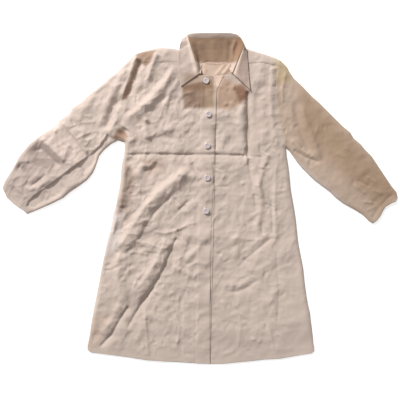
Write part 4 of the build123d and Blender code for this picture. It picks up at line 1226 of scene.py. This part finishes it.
# ------------------------------------------------------------------ stitching
def dashes(name, lines, lift, material=M_THREAD, pitch=3.4, length=2.5, z_of=None):
    """Machine stitches: short raised threads along each line."""
    pts, faces = [], []
    for line in lines:
        size = arc(line)[-1] * CELL
        count = int(size / pitch)
        start = along(line, (np.arange(count) + 0.5 - length / pitch / 2) / count)
        stop = along(line, (np.arange(count) + 0.5 + length / pitch / 2) / count)
        za = (z_of or height)(start[:, 0], start[:, 1]) + lift
        zb = (z_of or height)(stop[:, 0], stop[:, 1]) + lift
        zm = (z_of or height)((start[:, 0] + stop[:, 0]) / 2, (start[:, 1] + stop[:, 1]) / 2) + lift
        A, B = mm(start), mm(stop)
        for i in range(count):
            d = B[i] - A[i]
            d = d / (np.hypot(*d) + 1e-9)
            n = np.array([-d[1], d[0]]) * 0.26
            k = len(pts)
            mid = (A[i] + B[i]) / 2
            for p, zz, w, up in ((A[i], za[i] - 0.25, 0.5, 0.12), (mid, zm[i], 1.0, 0.3), (B[i], zb[i] - 0.25, 0.5, 0.12)):
                pts += [(p[0] - n[0] * w, p[1] - n[1] * w, zz - up), (p[0], p[1], zz + up),
                        (p[0] + n[0] * w, p[1] + n[1] * w, zz - up)]
            for s in (0, 3):
                for c in range(3):
                    e = (c + 1) % 3
                    faces.append((k + s + c, k + s + 3 + c, k + s + 3 + e, k + s + e))
            faces.append((k, k + 1, k + 2, k + 2))
            faces.append((k + 8, k + 7, k + 6, k + 6))
    clean = [tuple(dict.fromkeys(f)) for f in faces]
    pts = np.array(pts, float)
    mesh = bpy.data.meshes.new(name)
    mesh.from_pydata((pts / 1000.0).tolist(), [], clean)
    mesh.update()
    mesh.polygons.foreach_set("use_smooth", np.ones(len(mesh.polygons), bool))
    obj = bpy.data.objects.new(name, mesh)
    bpy.context.scene.collection.objects.link(obj)
    obj.data.materials.append(material)
    return obj


def shifted(line, du, dv):
    return [(u + du, v + dv) for u, v in line]


hem_r = [(u, hem_curve(u) - 5.2) for u in np.linspace(89.5, 195, 60)]
hem_l = [(u, hem_curve(u) - 5.2) for u in np.linspace(201.2, 312.5, 60)]
hem_b = [(u, hem_curve(u) - 5.2) for u in np.linspace(89.5, 312.5, 90)]
st_hem_r = dashes("right_front_stitches", [hem_r], 0.18)
st_hem_l = dashes("left_front_stitches", [hem_l], -0.32)
st_hem_b = dashes("back_hem_stitches", [hem_b], 1.1, z_of=back_height)


def placket_z(U, V):
    return height(U, V) + 1.0


free_line = [(placket_lines(v)[1][0] - 0.75, v) for v in np.linspace(89, 362, 90)]
seam_line = [(placket_lines(v)[0][0] + 0.75, v) for v in np.linspace(77, 362, 90)]
upper_line = [(201.8, 77.0), (212.2, 77.0), (216.0, 88.4)]
st_placket = dashes("placket_stitches", [free_line, seam_line, upper_line], 0.12, z_of=placket_z)


def leaf_stitches(name, grid, z):
    """Topstitching a few millimetres inside a leaf's outer and lower edges."""
    from_edge = 4
    outer = [tuple(p) for p in grid[2:-4, len(FINE) - from_edge]]
    lower = [tuple(p) for p in grid[-4, 2:len(FINE) - from_edge + 1][::-1]]
    flat = grid.reshape(-1, 2)
    zz = z.ravel()

    def z_of(U, V):
        d = (flat[None, :, 0] - np.atleast_1d(U)[:, None]) ** 2 + (flat[None, :, 1] - np.atleast_1d(V)[:, None]) ** 2
        return zz[d.argmin(1)]

    return dashes(name, [outer, lower], 0.2, z_of=z_of)


st_leaf_r = leaf_stitches("right_collar_stitches", r_leaf_grid, r_leaf_z)
st_leaf_l = leaf_stitches("left_collar_stitches", l_leaf_grid, l_leaf_z)
st_yoke = dashes("yoke_stitches", [[(181, 61.6), (171, 61.2), (158, 61.8), (136, 62.2)],
                                   [(247, 62.4), (262, 62.0), (279.4, 65.0)]], 0.95)


def cuff_line(curve, du, dv):
    return [(u + du, v + dv) for u, v in curve[:-1]]


st_cuff_r = dashes("right_cuff_stitches", [shifted(R_CUFF, 4.3, -3.9)[0:]], 0.18)
st_cuff_l = dashes("left_cuff_stitches", [shifted(L_CUFF, -4.0, -4.0)[1:]], 0.18)


def buttonhole(index, bu, bv):
    """Satin stitching round one buttonhole."""
    pts, faces = [], []
    count = 96
    cx, cy = mm((bu, bv))
    mid = np.interp(bv, [p[1] for p in PLACKET_MID], [p[0] for p in PLACKET_MID])
    cx = (mid - U0) * CELL
    for i in range(count):
        a = 2 * math.pi * i / count
        sx, sy = 1.75 * math.cos(a), 9.5 * math.sin(a)
        ox, oy = (1.75 + 1.7) * math.copysign(abs(math.cos(a)) ** 0.6, math.cos(a)), (9.5 + 1.6) * math.sin(a)
        up = 0.42 if i % 2 else 0.22
        for k, h in ((0.0, -0.35), (0.28, up), (0.72, up), (1.0, -0.1)):
            pts.append((cx + sx + (ox - sx) * k, cy + sy + (oy - sy) * k, 1.22 + h))
    for i in range(count):
        j = (i + 1) % count
        for k in range(3):
            faces.append((i * 4 + k, i * 4 + k + 1, j * 4 + k + 1, j * 4 + k))
    pts = np.array(pts)
    pts[:, 2] += height(pts[:, 0] / CELL + U0, V0 - pts[:, 1] / CELL)
    mesh = bpy.data.meshes.new(f"buttonhole_stitches_{index}")
    mesh.from_pydata((pts / 1000.0).tolist(), [], upward(pts, np.array(faces), slice(0, None)).tolist())
    mesh.polygons.foreach_set("use_smooth", np.ones(len(mesh.polygons), bool))
    obj = bpy.data.objects.new(f"buttonhole_stitches_{index}", mesh)
    bpy.context.scene.collection.objects.link(obj)
    obj.data.materials.append(M_THREAD)
    return obj


holes = [buttonhole(i, *p) for i, p in enumerate(BUTTONS, 1)]


for o in (right_front, placket, st_hem_r, st_placket, *holes):
    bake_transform(o)
for o in (left_front, band, st_hem_l):
    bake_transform(o)
ride_all([back, yoke_back, yoke_r, yoke_l, st_hem_b, st_yoke, collar_back, stand], "body")
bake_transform(r_upper)
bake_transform(l_upper)
for o in (r_lower, st_cuff_r):
    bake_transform(o)
for o in (l_lower, st_cuff_l):
    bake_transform(o)
ride_all([r_leaf, st_leaf_r], "right_collar")
ride_all([l_leaf, st_leaf_l], "left_collar")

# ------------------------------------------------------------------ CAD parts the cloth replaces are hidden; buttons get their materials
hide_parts("right_front_panel", "right_front_side_panel")
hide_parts("left_front_panel", "left_front_side_panel")
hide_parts("back_panel", "right_side_seam", "left_side_seam")
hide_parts("back_yoke", "back_yoke_facing")
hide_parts("buttonhole_placket", "buttonhole_placket_facing", "buttonhole_placket_interlining")
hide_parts("button_band", "button_band_facing", "button_band_interlining")
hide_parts("collar_back_under", "collar_back_interlining", "collar_back_upper")
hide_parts("collar_stand")
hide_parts("right_collar_under", "right_collar_interlining", "right_collar_upper")
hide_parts("left_collar_under", "left_collar_interlining", "left_collar_upper")
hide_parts("right_sleeve_upper")
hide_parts("right_sleeve_lower")
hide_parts("left_sleeve_upper")
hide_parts("left_sleeve_lower")
for i in range(1, 6):
    for node, material in ((f"button_{i}", M_BUTTON), (f"button_thread_{i}", M_BUTTON_THREAD)):
        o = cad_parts[node]
        if not o.material_slots:
            o.data.materials.append(material)
        for s in o.material_slots:
            s.material = material

# ------------------------------------------------------------------ floor, light, camera
scene = bpy.context.scene
mesh = bpy.data.meshes.new("floor")
F = 14.0
mesh.from_pydata([(-F, -F, 0), (F, -F, 0), (F, F, 0), (-F, F, 0)], [], [(0, 1, 2, 3)])
floor = bpy.data.objects.new("floor", mesh)
scene.collection.objects.link(floor)
mat = bpy.data.materials.new("pale_floor")
tree = nodes_of(mat)
out = tree.nodes.new("ShaderNodeOutputMaterial")
bsdf = tree.nodes.new("ShaderNodeBsdfPrincipled")
bsdf.inputs["Base Color"].default_value = (0.52, 0.52, 0.52, 1)
bsdf.inputs["Roughness"].default_value = 0.95
bsdf.inputs["Specular IOR Level"].default_value = 0.1
bsdf.inputs["Emission Color"].default_value = (1, 1, 1, 1)
bsdf.inputs["Emission Strength"].default_value = 0.70
link(tree, bsdf.outputs[0], out.inputs[0])
mesh.materials.append(mat)

world = bpy.data.worlds.new("studio")
scene.world = world
world.use_nodes = True
wt = world.node_tree
wt.nodes.clear()
wo = wt.nodes.new("ShaderNodeOutputWorld")
bg = wt.nodes.new("ShaderNodeBackground")
bg.inputs[0].default_value = (1.0, 0.955, 0.915, 1)
bg.inputs[1].default_value = 0.34
wt.links.new(bg.outputs[0], wo.inputs[0])

sun = bpy.data.lights.new("key", "SUN")
sun.energy = 3.6
sun.angle = math.radians(5)
sun.color = (1.0, 0.985, 0.955)
key = bpy.data.objects.new("key", sun)
scene.collection.objects.link(key)
elev = math.radians(32)
to_light = Vector((-0.56 * math.cos(elev), 0.83 * math.cos(elev), math.sin(elev))).normalized()
key.rotation_mode = "QUATERNION"
key.rotation_quaternion = to_light.to_track_quat("Z", "Y")

near = bpy.data.lights.new("fill", "AREA")
near.energy = 1.9
near.size = 0.5
near.color = (1.0, 0.97, 0.95)
fill = bpy.data.objects.new("fill", near)
scene.collection.objects.link(fill)
fill.location = (-0.42, 0.62, 0.62)
fill.rotation_mode = "QUATERNION"
fill.rotation_quaternion = (Vector(fill.location) - Vector((-0.12, 0.2, 0.0))).to_track_quat("Z", "Y")

cam_data = bpy.data.cameras.new("camera")
cam_data.type = "PERSP"
cam_data.lens = 50
cam_data.sensor_width = 36
cam = bpy.data.objects.new("camera", cam_data)
scene.collection.objects.link(cam)
wide = 400 * CELL / 1000.0
cam.location = ((200.0 - U0) * CELL / 1000.0, (V0 - 200.0) * CELL / 1000.0, 0.006 + wide / 0.72)
cam.rotation_euler = (0, 0, 0)
cam_data.clip_start, cam_data.clip_end = 0.05, 60
scene.camera = cam
scene.view_settings.view_transform = "Standard"
scene.view_settings.look = "None"
